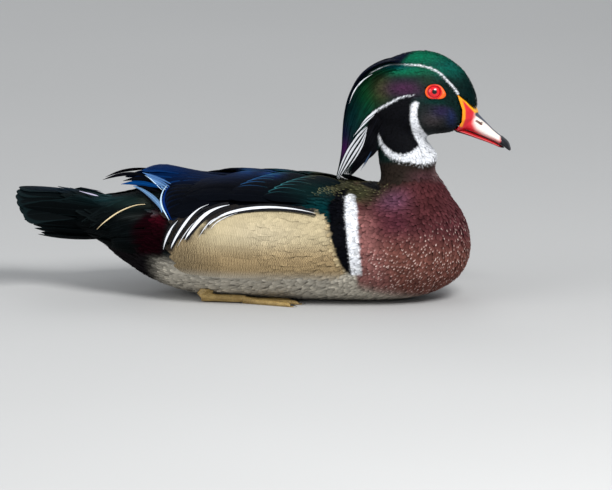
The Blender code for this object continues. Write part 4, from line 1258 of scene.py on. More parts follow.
# The pale edges where a folded wing ends, each along its line in the photograph: half width and lift in
# millimetres, and colour
STEEL, FROST, DEEP_BLUE = (0.060, 0.145, 0.330), (0.44, 0.60, 0.76), (0.001, 0.016, 0.110)
WING_EDGE_LINES = (
    ([(162, 181), (148, 176.6), (138, 174.2), (129, 173.8), (119, 175), (110.5, 177.2),
      (103, 179.8)], 1.5, 0.0, BLACK),
    ([(164, 184), (152, 180.6), (142, 178.8), (133, 179), (123, 181)], 1.7, 0.1, BLACK),
    ([(166, 189), (156, 186), (144, 183.8), (133, 183), (121.3, 184.2)], 2.1, 0.4, (0.001, 0.036, 0.150)),
    ([(162, 193), (152, 189.5), (143, 187.2), (134, 186)], 1.4, 0.5, BLACK),
    ([(171, 184), (164, 180.5), (156, 177.5), (149, 175), (142.5, 172.5)], 1.2, 0.9, STEEL),
    ([(170, 187), (164, 183), (158, 180), (152, 177.8), (146, 175)], 1.3, 0.8, STEEL),
    ([(168.5, 188.5), (164, 185.5), (159, 183), (154, 180.5), (150, 178)], 1.3, 0.7, (0.110, 0.220, 0.420)),
    ([(166.5, 190), (163, 188), (160, 186), (157, 184), (154, 181.5)], 1.2, 0.6, (0.110, 0.220, 0.420)),
    ([(163.5, 191), (159, 187), (154.5, 182.5), (150, 178.5), (145, 175.2)], 0.4, 1.1, FROST),
    ([(134, 186), (142, 189.6), (150, 195), (157, 201.5), (161, 207), (162.6, 212.5)], 1.9, 1.0,
     (0.120, 0.230, 0.400)),
    ([(137, 189.5), (144, 194), (151, 200.5), (156.5, 207), (161.5, 212.5)], 0.9, 1.2, BLACK),
    ([(170, 186), (166.3, 191), (164.4, 196.5), (164, 202), (165.6, 208), (168.6, 213.5),
      (172, 220)], 1.2, 1.7, DEEP_BLUE),
    ([(167, 186), (163.8, 190.5), (161.8, 196), (161.4, 202), (163, 208), (166, 213.5),
      (170, 220.5)], 0.8, 2.0, FROST),
)


# Rows of feathers over the wing, each from the back downwards: where its first feather starts, as an x and a
# girth angle, how far on from there the next one starts, the same for the ends, and lifts and half width
SHORT_ROWS = (
    ((61, 16), (-3.0, 5.6), (33, 12.5), (-4, 6.0), (1.2, 4.2, 3.7), 5.6),
    ((42, 13), (-3.4, 6.0), (8, 10), (-4.8, 6.4), (1.0, 4.9, 4.3), 6.4),
    ((20, 11), (-3.2, 6.0), (-22, 9.5), (-4.4, 6.6), (0.8, 5.4, 4.7), 7.0),
)
COVERT_ROW = ((-4, 30), (-2.4, 4.6), (-48, 29), (-1.9, 6.0), (0.4, 4.3, 3.7), 6.4)
SECONDARY_ROW = ((-36, 31), (-1.4, 4.1), (-75.5, 28), (1.3, 6.4), (0.0, 3.4, 2.7), 6.2)


def laid_row(tract, flesh, side, row):
    start, start_step, end, end_step, lifts, half = row
    for k in range(8):
        first, last = ([a + b * k for a, b in zip(*pair)] for pair in ((start, start_step), (end, end_step)))
        laid(tract, flesh, side, first, last, lifts, half)


FAR_RISE = 2.2  # how much higher the far wing's long feathers stand, in millimetres


def lay_tertials(side, flesh, coat):
    """The five long inner feathers, which arch over the back and stand free behind it."""
    rise = FAR_RISE if side > 0 else 0.0
    tertials = Tract(14, 6, root=0.6, peak=0.65, sharp=2.2, tip=0.06, blunt=0.7)
    for k in range(5):
        root, out = flesh.at(-4 - 5 * k, side * (13 + 5 * k), 1.0)
        dip, _ = flesh.at(-40 - 2.2 * k, side * (10 + 6 * k), 3.4)
        hump = (-75 + 3.7 * k, side * (6.5 + 4.6 * k), 98.5 - 2.9 * k - rise * 0.4)
        tip = (-93.5 + 4.6 * k, side * (6.5 + 4.6 * k), 95.4 - 2.3 * k - rise * 0.6)
        last = (0, side * (0.25 + 0.17 * k), 1.0)
        tertials.one((root, dip, hump, tip), (out, last), 7.0, side * 6)
    tertials.give(coat, edged(wing_paint, (0.002, 0.03, 0.13), 0.6), curl=0.018, thick=0.35, shade=0.1)


def lay_primaries(side, flesh, coat):
    """The ends of the four longest feathers, which cross over the rump."""
    rise, longest = (FAR_RISE, -108) if side > 0 else (0.0, -103)
    primaries = Tract(14, 4, root=0.7, peak=0.7, sharp=2.0, tip=0.06, blunt=0.6)
    for k in range(4):
        root, out = flesh.at(-44, side * (11 + 4.2 * k), 1.0)
        middle, _ = flesh.at(-72 + k, side * (11 + 5.0 * k), 4.6)
        middle[2] += 1.6 - 0.6 * k + rise
        tip = (longest + 4.5 * k, side * (4.0 + 3.4 * k), 87.4 + rise * 0.4 - 2.0 * k)
        primaries.one((root, middle, tip), (out, (0, side * 1.1, 1.0)), 4.2, side * 8)
    primaries.give(coat, primary_paint, curl=0.0, thick=0.35, shade=0.1)


def make_wing(label, side, flesh, coat):
    """The long feathers of a folded wing over its small ones."""
    short = Tract(10, 6, root=0.6, peak=0.55, sharp=2.6, tip=0.14)
    coverts = Tract(10, 6, root=0.6, peak=0.65, sharp=3, tip=0.16)
    secondaries = Tract(12, 6, root=0.6, peak=0.8, sharp=4, tip=0.3)
    for row in SHORT_ROWS:
        laid_row(short, flesh, side, row)
    laid_row(coverts, flesh, side, COVERT_ROW)
    laid_row(secondaries, flesh, side, SECONDARY_ROW)
    short.give(coat, wing_paint, curl=0.014, thick=0.3, shade=0.1)
    coverts.give(coat, wing_paint, curl=0.014, thick=0.3, shade=0.1)
    secondaries.give(coat, edged(wing_paint, (0.003, 0.014, 0.050), 0.3), curl=0.01, thick=0.3, shade=0.1)

    lay_tertials(side, flesh, coat)
    lay_primaries(side, flesh, coat)
    wing_end = WingEnd(flesh)
    for line, half, lift, tint in WING_EDGE_LINES:
        trace(coat, wing_end, side, line, half, lift, tint, 0.6, peak=0.5)
    coat.make("wing_" + label)


def make_shoulder_plumes(coat):
    """The few black plumes that stand up on the far shoulder, behind the crest's tip."""
    ruffled = Tract(12, 4, root=0.7, peak=0.6, sharp=3.0, tip=0.3, blunt=0.6)
    for k in range(6):
        root = (89.5 - 0.6 * k, 13.5 + 1.2 * k, 81.5 - 0.5 * k)
        tip = (57.5 + 0.5 * k, 10.5 + 1.4 * k, 93.4 - 0.8 * k)
        middle = [(a + b) / 2 + raised for a, b, raised in zip(root, tip, (0, 0, 2.0))]
        ruffled.one((root, middle, tip), ((0.4, 0.3, 1.0),) * 2, 2.4, 20)
    ruffled.give(coat, plain_paint(BLACK, 0.4), curl=0.03, thick=0.3)


class WingEnd:
    """The outside of the folded wing from the flank to where its feathers stand free behind the body."""

    SLOPE = [(50, 38), (60, 37.5), (75, 34), (86, 28.5), (92, 18), (97, 6.5), (104, 2)]  # height, half width
    NARROWING = (-124, -86), (0.25, 1.0)  # x, and the share of the half width that is left there
    COVER = 3.6  # how far the wing's feathers stand off the body, in millimetres

    def __init__(self, flesh):
        self.flesh = flesh

    def depth(self, start):
        """How far before the view's middle plane a line of sight meets the slope or the body's feathers."""
        heights, halves = np.array(self.SLOPE, float).T
        near, far = 80.0, -20.0
        for _ in range(24):
            middle = (near + far) / 2
            point = start + CAMERA_BACK * middle
            if -point[1] > np.interp(point[2], heights, halves) * np.interp(point[0], *self.NARROWING):
                near = middle
            else:
                far = middle
        outside = Vector(start + CAMERA_BACK * OUTSIDE)
        hit, _, _, away = self.flesh.tree.ray_cast(outside, Vector(-CAMERA_BACK))
        return middle if hit is None else max(middle, OUTSIDE - away + self.COVER)

    def along_pixels(self, side, spots, lift):
        starts = picture_points(spots)
        depths = np.array([self.depth(start) for start in starts])
        for _ in range(6):
            evened(depths)
        points = starts + CAMERA_BACK * (depths + lift)[:, None]
        faces = np.tile(unit(np.array([-0.15, -0.85, 0.45])), (len(points), 1))
        flip = np.array([1, -side, 1])
        return points * flip, faces * flip


def plain_paint(tint, gloss=0.15):
    """A painter of one colour."""
    return lambda points: Paint(len(points), tint, gloss)


def trace(coat, surface, side, line, half, lift, tint, gloss=0.15, rows=18, root=0.25, peak=0.35, tip=0.08,
          thick=0.3, settling=0.0):
    """One long narrow vane along a line in the photograph. half is its half width in millimetres, and
    settling the share of its lift that it loses towards its tip."""
    shares = np.linspace(0, 1, rows)
    spine, face = surface.along_pixels(side, curve(line, shares), lift * (1 - settling * shares))
    wide = half * profile(shares, root, peak, 2.0, tip)[None]
    coat.add(spine[None], face[None], wide, plain_paint(tint, gloss), 4, curl=0.02, thick=thick, shade=0.03)


# White plumes over the flank, each along its line in the photograph: half width and lift in millimetres, and
# how far from it the black ones that edge it lie, in pixels
FLANK_PLUMES = (
    ([(315, 213.4), (303, 210.6), (288, 208.4), (272, 207.3), (256, 207.9), (243, 209.6), (231, 212.4),
      (221, 216.4), (212, 222.4), (205.5, 229.5)], 1.3, 5.4, 2.4),
    ([(230, 205), (221, 207), (211, 211.2), (202.5, 217.6), (195, 226), (189, 234),
      (185.5, 240)], 1.5, 5.7, 2.8),
    ([(209, 204.6), (200, 208.6), (191.5, 216), (184.5, 225), (178, 235), (173, 244.5),
      (171.5, 248.5)], 1.05, 5.8, 2.6),
    ([(178.5, 220.5), (173, 227), (168.6, 235), (165.6, 242.5), (163.8, 249.5)], 0.85, 5.8, 2.3),
    ([(197.5, 220), (190, 228), (183, 238), (178, 247)], 0.35, 5.2, 0.0),
    ([(223, 215.5), (212.5, 220.5), (205, 228.5), (199, 238)], 0.4, 5.1, 0.0),
    ([(238, 213), (226, 217.5), (216, 223.5), (209.5, 231.5)], 0.35, 5.1, 0.0),
)


# The flank's rows of long feathers: the x that their tips reach, the x that the first one starts at, and lift
FLANK_ROWS = ((-72, -22, 2.3), (-58, -8, 2.6), (-43, 6, 2.8))
FLANK_FEATHERS = 7  # in a row
FLANK_GIRTH = 46  # what a row spreads over, in degrees


def make_flank(label, side, flesh, coat):
    """The flank's long plumes over its small feathers, and the white and black ones that edge it."""
    plumes = Tract(12, 6, root=0.55, peak=0.75, sharp=3.4, tip=0.2)
    for reach, first, lift in FLANK_ROWS:
        for k in range(FLANK_FEATHERS):
            spread = FLANK_GIRTH / (FLANK_FEATHERS - 1) * k
            tip = reach + 9 * math.sin((spread / FLANK_GIRTH) * 2.1) + 4 * math.sin(5 * k + reach)
            laid(plumes, flesh, side, (first + 0.25 * spread, 72 + spread * 0.8), (tip, 68 + spread * 0.88),
                 (0.4, lift + 0.4, lift - 0.5), 6.0, 2)
    plumes.give(coat, flank_paint, curl=0.012, thick=0.25, shade=0.05)
    for line, half, lift, inset in FLANK_PLUMES:
        if inset:
            inner = [(x + 0.35 * inset, y + inset * 0.85) for x, y in line]
            trace(coat, flesh, side, inner, half * 0.95 + 0.3, lift - 0.5, BLACK, root=0.5, settling=0.35)
            outer = [(x - 0.35 * inset, y - inset * 0.75) for x, y in line]
            trace(coat, flesh, side, outer, half * 1.25 + 0.2, lift - 0.6, BLACK, root=0.5, settling=0.35)
        trace(coat, flesh, side, line, half, lift, WHITE, root=0.08, peak=0.42, settling=0.35)
    coat.make("flank_" + label)


def tail_paint(points):
    painted = Paint(len(points), (0.0022, 0.0035, 0.004), 0.7)
    spots = seen(points)
    painted.glows(spots, TAIL_SHEEN)
    painted.edge(np.ones(len(points)), (0.008, 0.018, 0.020), 0.5)
    return painted


# How high the top of the tail and its upper coverts is along its middle
TAIL_TOP_X = (-190, -183, -158, -144, -123, -104, -86)
TAIL_TOP_Z = (80.4, 80.6, 80.2, 78.2, 74.0, 74.2, 77.4)
# The x that each row of the tail's upper coverts starts at, and the x that it reaches
UPPER_ROWS = ((-112, -162), (-107, -152), (-101, -141), (-94, -128), (-86, -114))


def tail_fan():
    """Twelve squared feathers like a low tent."""
    fan = Tract(18, 8, root=0.55, peak=0.84, sharp=2.2, tip=0.06, blunt=0.5)
    for k in range(12):
        place = (k - 5.5) / 5.5
        layer = 0.9 * (5 - k if k < 6 else k - 5)
        drop = 13 * abs(place) ** 1.5
        end = TAIL_TIP_X - 1.5 + 11 * abs(place) ** 2.2 + 3.5 * math.exp(-(place / 0.3) ** 2)
        root = (-122, 11 * place, 72.5 - 0.4 * drop - layer)
        middle = (-156, 22 * place, 78.6 - 0.8 * drop - layer)
        face = (0.05, 1.1 * place, 1)
        tip = (end, 31 * place, 79.8 - drop - layer)
        fan.one((root, middle, tip), (face, face), 8.2, ragged=0.015)
    return fan


def upper_coverts(draw):
    upper = Tract(10, 6, root=0.55, peak=0.55, sharp=2.0, tip=0.14)
    for row, (start, reach) in enumerate(UPPER_ROWS):
        for k in range(11):
            place = (k - 5) / 5
            xs = np.array([start, (start + reach) / 2, reach + 9 * abs(place) + draw.uniform(-2, 2)])
            high = np.interp(xs, TAIL_TOP_X, TAIL_TOP_Z) + np.array([-3.0, -0.4, 0.1])
            wide = np.array([12 + 3 * row, 18 + 4 * row, 20 + 5 * row]) * place
            fall = np.array([5, 6 + 1.5 * row, 7 + 2.5 * row]) * place**2 + 0.5 * abs(k - 5.2)
            upper.one(np.column_stack([xs, wide, high - fall]), ((0, 0.9 * place, 1.0),) * 2, 5.0)
    return upper


def painted_highlight_streaks():
    """One pale streak on each side of the tail's root: a painted highlight."""
    pale = Tract(10, 4, root=0.2, peak=0.6, sharp=2.0, tip=0.1)
    for side in SIDES.values():
        line = [(-142 + 7.5 * k, side * (8.0 + 0.9 * k), 78.4 - 1.6 * k) for k in range(3)]
        pale.one(line, ((0, side * 0.7, 1.0),) * 2, 0.85)
    return pale


def under_coverts(draw):
    """Rows of feathers from the sides of the tail, at high 1, to its underside, at high 0."""
    under = Tract(12, 4, root=0.55, peak=0.62, sharp=1.8, tip=0.06, blunt=0.7)
    for side in SIDES.values():
        for row in range(6):
            high = 1 - row / 5
            for k in range(6):
                lift = 0.7 * k
                start, reach = -112 - 2 * k, -184 + 14 * (1 - high) + 6 * k + draw.uniform(-5, 3)
                root = (start, side * (10 + 13 * high**0.7 - lift * 0.4), 44.5 + 20 * high)
                middle = ((start + reach) / 2, side * (7 + 17 * high - lift), 41 + 26 * high + lift)
                tip = (reach, side * (4 + 23 * high - lift), 43.5 + 25 * high + draw.uniform(-2, 1))
                face = (-0.1, side * (0.55 + 0.6 * high), -0.9 + 1.0 * high)
                under.one((root, middle, tip), (face, face), 6.2, side * 8, ragged=0.12)
    return under


def tail_sides(flesh):
    """The feathers that lie round the rump from its top to its underside, on both sides."""
    sides = Tract(10, 4, root=0.6, peak=0.55, sharp=1.8, tip=0.12)
    for side in SIDES.values():
        for start in range(-92, -138, -9):
            for girth in range(30, 106, 15):
                root, out = flesh.at(start, side * girth, -0.4)
                middle, _ = flesh.at(start - 13, side * (girth + 1), 1.2)
                last, over = flesh.at(max(start - 27, -157), side * (girth + 2), 1.8)
                sides.one((root, middle, last), (out, over), 5.0, side * 6, ragged=0.15)
    return sides


def make_tail(flesh, coat):
    """The tail's fan with coverts over, beside and under it."""
    draw = np.random.default_rng(21)
    tail_fan().give(coat, tail_paint, curl=0.02, thick=0.45, shade=0.12)
    upper_coverts(draw).give(coat, rump_paint, curl=0.02, thick=0.3, shade=0.15)
    # Painted highlights: a pale streak on each side of the tail's root.
    painted_highlight_streaks().give(coat, plain_paint((0.34, 0.32, 0.42)), curl=0.02)
    under_coverts(draw).give(coat, tail_paint, curl=0.02, thick=0.3, shade=0.2)
    tail_sides(flesh).give(coat, rump_paint, curl=0.02, thick=0.3, shade=0.2)
    coat.make("tail")


BUFF_PLUME = [(145.5, 204.4), (137, 205.2), (128, 208), (119, 212.2), (110, 218.2), (103, 223.8), (97, 229.6)]


def rump_paint(points):
    """Black with bottle green, and a few grey green streaks of painted sheen."""
    painted = tail_paint(points)
    spots = seen(points)
    painted.glows(spots, RUMP_SHEEN)
    painted.lay(inside(spots, MAROON, 3), (0.0065, 0.0003, 0.0015), 0.5)
    painted.edge(np.ones(len(points)), (0.014, 0.024, 0.022), 0.12)
    return painted


def make_rump_plumes(label, side, flesh, coat):
    """The drooping plumes beside the rump, with one long buff one."""
    draw = np.random.default_rng(41)
    dark = Tract(12, 4, root=0.6, peak=0.45, sharp=1.4, tip=0.08)
    for k in range(34):
        share = k / 33
        girth = 44 + 52 * share + draw.uniform(-2, 2)
        start = -76 - 14 * draw.random()
        root, out = flesh.at(start, side * girth, -0.6)
        middle, _ = flesh.at(start - 22, side * (girth + 3), 1.6 + 1.4 * draw.random())
        tip = np.array([-134 + 22 * share + draw.uniform(-5, 3), side * (30 - 6 * share), 60 - 21.5 * share])
        tip[1:] += draw.uniform(-1, 1, 2)
        faces = (out, (-0.2, side, 0.25))
        dark.one((root, middle, tip), faces, draw.uniform(2.0, 3.6), side * 6, ragged=0.15)
    dark.give(coat, rump_paint, curl=0.03, thick=0.3, shade=0.12)
    trace(coat, flesh, side, BUFF_PLUME, 0.85, 6.0, (0.62, 0.50, 0.30), thick=0.5)
    coat.make("rump_plumes_" + label)


def crest_place(share, depth):
    """A point of the crest in side view: share from root to tip, depth from the outer to the inner edge."""
    outer, inner = curve(CREST_OUTER, share), curve(CREST_INNER, share)
    spot = outer * (1 - depth)[..., None] + inner * depth[..., None]
    return np.stack([spot[..., 0], np.zeros(spot.shape[:-1]), spot[..., 1]], -1)


def crest_spread(share, depth):
    """How far to each side the crest's plumes lie, in millimetres."""
    return (4.0 + 13.5 * depth**0.5) * (1 - share) ** 0.55 + 0.8


class CrestSide:
    """The outside of the crest's plumes."""

    def __init__(self):
        share, depth = (grid.ravel() for grid in np.meshgrid(np.linspace(0, 1, 70), np.linspace(0, 1, 30)))
        self.places = crest_place(share, depth)[:, ::2]
        self.spread = crest_spread(share, depth) * 1.02

    def along_pixels(self, side, spots, lift):
        right, up = picture_place(spots)
        near = np.full(len(spots), 8.0)
        for _ in range(12):
            x = (right + near * CAMERA_RIGHT[1]) / CAMERA_RIGHT[0]
            z = (up - CAMERA_UP[0] * x + CAMERA_UP[1] * near) / CAMERA_UP[2]
            away = np.linalg.norm(self.places[None] - np.stack([x, z], 1)[:, None], axis=2)
            near = evened(near * 0.4 + (self.spread[away.argmin(1)] + lift) * 0.6)
        faces = np.tile([0.0, side, 0.15], (len(spots), 1))
        return np.stack([x, side * near, z], 1), unit(faces)


# The crest's layers of plumes: how many, the shares of its length that they start and end at, and how far out
# they lie as a share of its half width
CREST_LAYERS = ((50, 0.20, 1.0, 0.72), (80, 0.24, 0.98, 0.86), (90, 0.12, 0.88, 0.94), (90, 0.02, 0.70, 1.0),
                (70, 0.0, 0.50, 1.04))


def make_crest(coat):
    """The long crest: fine plumes in layers, from the crown round to the tip that lies on the back."""
    surface = CrestSide()
    draw = np.random.default_rng(31)
    shares = np.linspace(0, 1, 26)
    for side in SIDES.values():
        starts, ends, depths, depth_ends, layers = [], [], [], [], []
        for count, first, last, shrink in CREST_LAYERS:
            for k in range(count):
                depth = (k + draw.uniform(-0.3, 0.3)) / (count - 1)
                starts.append(np.clip(first + draw.uniform(-0.05, 0.05), 0, 1))
                ends.append(np.clip(last * (1 - 0.07 * depth) + draw.uniform(-0.07, 0.02), 0, 1))
                depths.append(np.clip(depth, 0, 1))
                depth_ends.append(np.clip(depth + draw.uniform(-0.05, 0.05), 0, 1))
                layers.append(shrink)
        starts, ends, depths, depth_ends, layers = map(np.array, (starts, ends, depths, depth_ends, layers))
        along = starts[:, None] + (ends - starts)[:, None] * shares
        depth = depths[:, None] + (depth_ends - depths)[:, None] * shares
        spine = crest_place(along, depth)
        spread = crest_spread(along, depth)
        rooted = 0.72 + 0.28 * smooth(0, 0.2, shares)[None]
        spine[..., 1] = side * spread * layers[:, None] * rooted
        ahead = crest_place(np.minimum(along + 0.03, 1), depth)
        way = unit(ahead - crest_place(np.maximum(along - 0.03, 0), depth))
        out = np.cross(np.array([0, -1.0, 0]), way)
        tilt = np.radians(np.minimum(90, depth * 170))[..., None]
        face = unit(out * np.cos(tilt) + np.array([0, side, 0]) * np.sin(tilt))
        half = draw.uniform(0.6, 1.15, len(starts))[:, None] * profile(shares, 0.6, 0.4, 1.6, 0.12)[None]
        coat.add(spine, face, half, head_paint, 2, curl=0.05, thick=0.3, shade=0.3, breadth=0.0,
                 roll=draw.normal(scale=14, size=len(starts)))
        for line, wide in CREST_PLUMES:
            trace(coat, surface, side, line, wide, 0.6, WHITE, rows=22, root=0.3, peak=0.4, tip=0.1)
        trace(coat, surface, side, BLUE_STRAND, 0.42, 0.2, (0.055, 0.10, 0.19))
    coat.make("crest")


# Bill, eyes and feet

BILL_YELLOW = [(457.5, 94), (460.5, 103), (463, 112), (463, 119), (460.5, 126)]
BILL_YELLOW_TOP = [(459, 94), (465, 100.5), (471.5, 108), (478.5, 116)]
BILL_WHITE = [(475, 113), (482, 118), (490, 125), (499, 131), (502, 136), (498, 141), (490, 138.6),
              (482, 135), (475.5, 130), (472.5, 124), (474, 118)]
BILL_EDGE = (455, 498), (130.5, 147.0)  # across and down, along the lower edge of the upper bill
CULMEN = [(476.5, 115), (482, 119), (488, 124), (494, 129.2), (499.5, 133.5)]
NAIL = [(499.5, 133), (505, 133), (516, 146), (512, 156), (502, 152), (495.5, 147.5), (500, 142)]
NOSTRIL = [(475.8, 121.6), (478, 123), (480.4, 124.8)]


def bill_paint(points):
    spots = seen(points)
    paint = Paint(len(points), (0.60, 0.010, 0.022), 0.5)
    paint.lay(smooth(468, 482, spots[:, 0]) * 0.6, (0.68, 0.070, 0.080))
    paint.lay(inside(spots, BILL_WHITE, 3.2), (0.82, 0.74, 0.68))
    paint.lay(band(spots, BILL_YELLOW, (2.0, 1.5), 1.8), (0.86, 0.300, 0.003))
    paint.lay(band(spots, BILL_YELLOW_TOP, (2.6, 1.6), 1.8), (0.90, 0.400, 0.006))
    top = smooth(2.6, 1.5, np.abs(points[:, 1])) * smooth(166, 170, points[:, 0])
    paint.lay(np.maximum(top, band(spots, CULMEN, (2.1, 1.5), 1.6)), (0.035, 0.045, 0.075))
    paint.lay(band(spots, NOSTRIL, 1.25, 0.9), (0.090, 0.018, 0.004))
    paint.lay(inside(spots, NAIL, 0.9), (0.004, 0.005, 0.008))
    return paint


def lower_bill_paint(points):
    """Dark horn below, and the upper bill's red along its edge."""
    spots = seen(points)
    paint = Paint(len(points), (0.018, 0.014, 0.014), 0.6)
    paint.lay(smooth(0.6, -0.6, spots[:, 1] - np.interp(spots[:, 0], *BILL_EDGE)), (0.42, 0.012, 0.016))
    return paint


def smooth_node(node, name, voxel, rounds, painter, finish, slot, change=None):
    """A piece that takes a CAD node's place, in a finer and rounder mesh, with colours in its vertices."""
    piece = remeshed(node_copy([node], name), voxel * (1), rounds, name)
    points, normals = vertices_of(piece)
    if change:
        points = change(points, normals)
        place_vertices(piece, points)
    coloured(piece, painter(points), finish, slot, node)


def nail_groove(points, normals):
    """A fine groove round the nail, which stands a little raised."""
    spots = seen(points)
    edge = inside(spots, NAIL, 0.6)
    groove = edge * (1 - edge) * 4
    return points - normals * 0.12 * groove[:, None] + normals * 0.10 * edge[:, None]


GAPE_X, GAPE_Z = 152.2, 140.8
GAPE_HALVES = (4.6, 9.6, 5.8)  # its half length, width and height, in millimetres


def make_gape(finish):
    """The flesh at the corners of the mouth, which closes the gap between the cheeks and the bill."""
    gape = primitive(bpy.ops.mesh.primitive_uv_sphere_add, "gape_flesh", segments=40, ring_count=24, radius=1)
    x, y, z = (vertices_of(gape)[0] * MM).T
    long, wide, high = GAPE_HALVES
    wider_above = 1.4 * np.sin(z * math.pi / 2)
    points = np.stack([GAPE_X + x * long, y * (wide + wider_above), GAPE_Z + z * high], 1)
    place_vertices(gape, points)
    coloured(gape, Paint(len(points), BLACK, 0.3), finish, "plumage_head")


def make_bill():
    finish = horn_finish()
    smooth_node("bill_upper", "upper_bill", 0.42, 3, bill_paint, finish, "bill_skin", nail_groove)
    smooth_node("bill_lower", "lower_bill", 0.42, 2, lower_bill_paint, finish, "bill_dark")


def make_eye(label, side, flesh):
    """The eyeball with its swollen lens, and the bare rim round it."""
    low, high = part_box("eye_" + label)
    centre = (np.array(low) + np.array(high)) / 2 / MM
    flat = EYE_RADIUS - EYE_BULGE
    ahead, above = EYE_X - centre[0], EYE_Z - centre[2]
    out = np.array([ahead, side * math.sqrt(flat**2 - ahead**2 - above**2), above]) / flat
    eye = primitive(bpy.ops.mesh.primitive_uv_sphere_add, "eyeball_" + label, segments=64, ring_count=40,
                    radius=EYE_RADIUS * MM)
    eye.data.transform(Vector(out).to_track_quat("Z", "Y").to_matrix().to_4x4())
    points, normals = vertices_of(eye)
    lens = smooth(0.80, 0.97, normals @ out)
    place_vertices(eye, points + centre + normals * 0.3 * lens[:, None])
    dressed(eye, eye_finish(label, centre, out), "eye", "eye_" + label)

    rim = primitive(bpy.ops.mesh.primitive_torus_add, "eye_rim_" + label, major_segments=128,
                    minor_segments=20, major_radius=6, minor_radius=1)
    level = centre[1] + out[1] * flat
    for vert in rim.data.vertices:
        turn = math.atan2(vert.co.y, vert.co.x)
        tube_out = math.hypot(vert.co.x, vert.co.y) - 6
        reach = RIM_START + (rim_reach(turn) - RIM_START) * (tube_out + 1) / 2
        way = np.array([math.cos(turn), 0, RIM_HEIGHT * math.sin(turn)])
        far = max(8.0, reach)
        hit, _ = flesh.cast(np.array([EYE_X, side * OUTSIDE, EYE_Z]) + way * far, (0, -side, 0))
        spot = np.array([EYE_X, level, EYE_Z]) + way * reach
        spot[1] += (hit[1] - level) * (reach / far) ** 1.6
        fold = 0.10 * math.sin(turn * RIM_FOLDS) * max(0, tube_out)
        vert.co = Vector(spot + out * (0.15 + (0.8 + fold) * vert.co.z)) * MM
    facing_out(rim)
    dressed(rim, lid_finish(centre, out), "eye")


KNUCKLE = (-10, 41.5)  # where a foot's toes meet, x and distance from the middle
TOES = ((-14, 40), (1, 46), (17, 43))  # each toe's angle outward in degrees, and its length to the claw's tip
CLAW_LENGTH = 5.0


def narrowed(points, end, inward, way, push=0.0):
    """Draws the last 7 mm of a form in towards their middle by shares of its depth and pushes them ahead."""
    near = smooth(end - 7 * way, end, points[:, 0])[:, None]
    middle = points[near[:, 0] > 0.5].mean(0)
    return points + (middle - points) * inward * near + [push, 0, 0] * near


def rounded_heel(points, _):
    """The back of the foot, drawn in where the shank meets it."""
    return narrowed(points, points[:, 0].min(), [0, 0.42, 0.30], -1)


def drawn_ankle(points, _):
    """The shank's front end, drawn out into the foot."""
    return narrowed(points, points[:, 0].max(), [0, 0.12, 0.12], 1, 2.6)


def foot_paint(points):
    """Webs in the gloss channel: 1 between the toes and 0 on them."""
    paint = Paint(len(points), (0.3, 0.2, 0.07), 0.0)
    ahead, beside = points[:, 0] - KNUCKLE[0], np.abs(points[:, 1]) - KNUCKLE[1]
    reach = np.hypot(ahead, beside)
    turn = np.degrees(np.arctan2(beside, ahead))
    between = np.min([np.abs(turn - angle) for angle, _ in TOES], axis=0)
    paint.gloss = smooth(2.5, 4.5, between * reach / 57 * 1.2) * smooth(6, 12, reach) * (points[:, 0] > -8)
    return paint


def make_claw(name, side, angle, length, finish):
    """A hooked claw at the end of a toe."""
    turn = math.radians(angle)
    way = Vector((math.cos(turn), side * math.sin(turn), 0))
    tip = Vector((KNUCKLE[0], side * KNUCKLE[1], 1.6)) + way * (length - 2.4)
    hook = primitive(bpy.ops.mesh.primitive_cone_add, name, vertices=12, radius1=1.15 * MM, radius2=0.12 * MM,
                     depth=CLAW_LENGTH * MM)
    bpy.ops.object.mode_set(mode="EDIT")
    bpy.ops.mesh.select_all(action="SELECT")
    bpy.ops.mesh.subdivide(number_cuts=3)
    bpy.ops.object.mode_set(mode="OBJECT")
    for vert in hook.data.vertices:
        t = vert.co.z / (CLAW_LENGTH * MM) + 0.5
        along = way * (CLAW_LENGTH * t) + Vector((0, 0, 0.45 * math.sin(t * math.pi) - 0.7 * t))
        across = Vector((-way.y, way.x, 0)) * vert.co.x / MM + Vector((0, 0, 1)) * vert.co.y / MM
        vert.co = (tip + along + across) * MM
        vert.co.z = max(vert.co.z, 0.1 * MM)
    facing_out(hook)
    dressed(hook, finish, "foot_skin")


def make_foot(label, side, finish, claw):
    for node, piece, rounds, change in (
        ("foot_", "webbed_foot_", 2, rounded_heel), ("leg_", "shank_", 3, drawn_ankle),
    ):
        smooth_node(node + label, piece + label, 0.5, rounds, foot_paint, finish, "foot_skin", change)
    for k, (angle, length) in enumerate(TOES):
        make_claw(f"claw_{label}_{k + 1}", side, angle, length, claw)


def make_skin(flesh_object):
    """The one skin under the coat, in the coat's own colours dimmed as painted shade."""
    skin = remeshed(link(flesh_object.data.copy(), "skin"), 1.9, 2, "skin")
    points, normals = vertices_of(skin)
    rise = swell(points)
    standing, upper = rise > STANDING, above_wing_edge(points)
    wing, flank = standing & upper, standing & ~upper
    paint = body_paint(points)
    for mask, painter in ((on_head(points), head_paint), (wing, wing_paint), (flank, flank_paint)):
        other = painter(points)
        paint.tint[mask], paint.gloss[mask] = other.tint[mask], other.gloss[mask]
    place_vertices(skin, points + normals * (rise - depth_of(points))[:, None])
    finish = painted_finish("skin_under_plumage")
    # strength 0.8 dims the coat's colours as painted shade, for the skin seen between feathers.
    coloured(skin, paint, finish, "plumage_body", "torso", "neck", "head", strength=0.8)


# The core's form: height, the x of its front and of its back there, and its half width
CORE_ROWS = [(184, 112, 112, 0), (182, 122, 100, 4), (175, 117, 87, 6.5), (163, 108, 76, 8),
             (150, 100, 71, 8), (136, 94, 69, 7), (124, 87, 68, 5), (114, 76, 76, 0)]


def make_crest_core(finish):
    """The soft middle that the crest's plumes lie on, in the head's colours dimmed as painted shade."""
    core = rounded_form("crest_core", 40, CORE_ROWS, lambda z, y, x: (x, y, z))
    facing_out(core)
    # strength 0.6 dims the head's colours as painted shade between the plumes.
    coloured(core, head_paint(vertices_of(core)[0]), finish, "plumage_head", strength=0.6)


# The studio


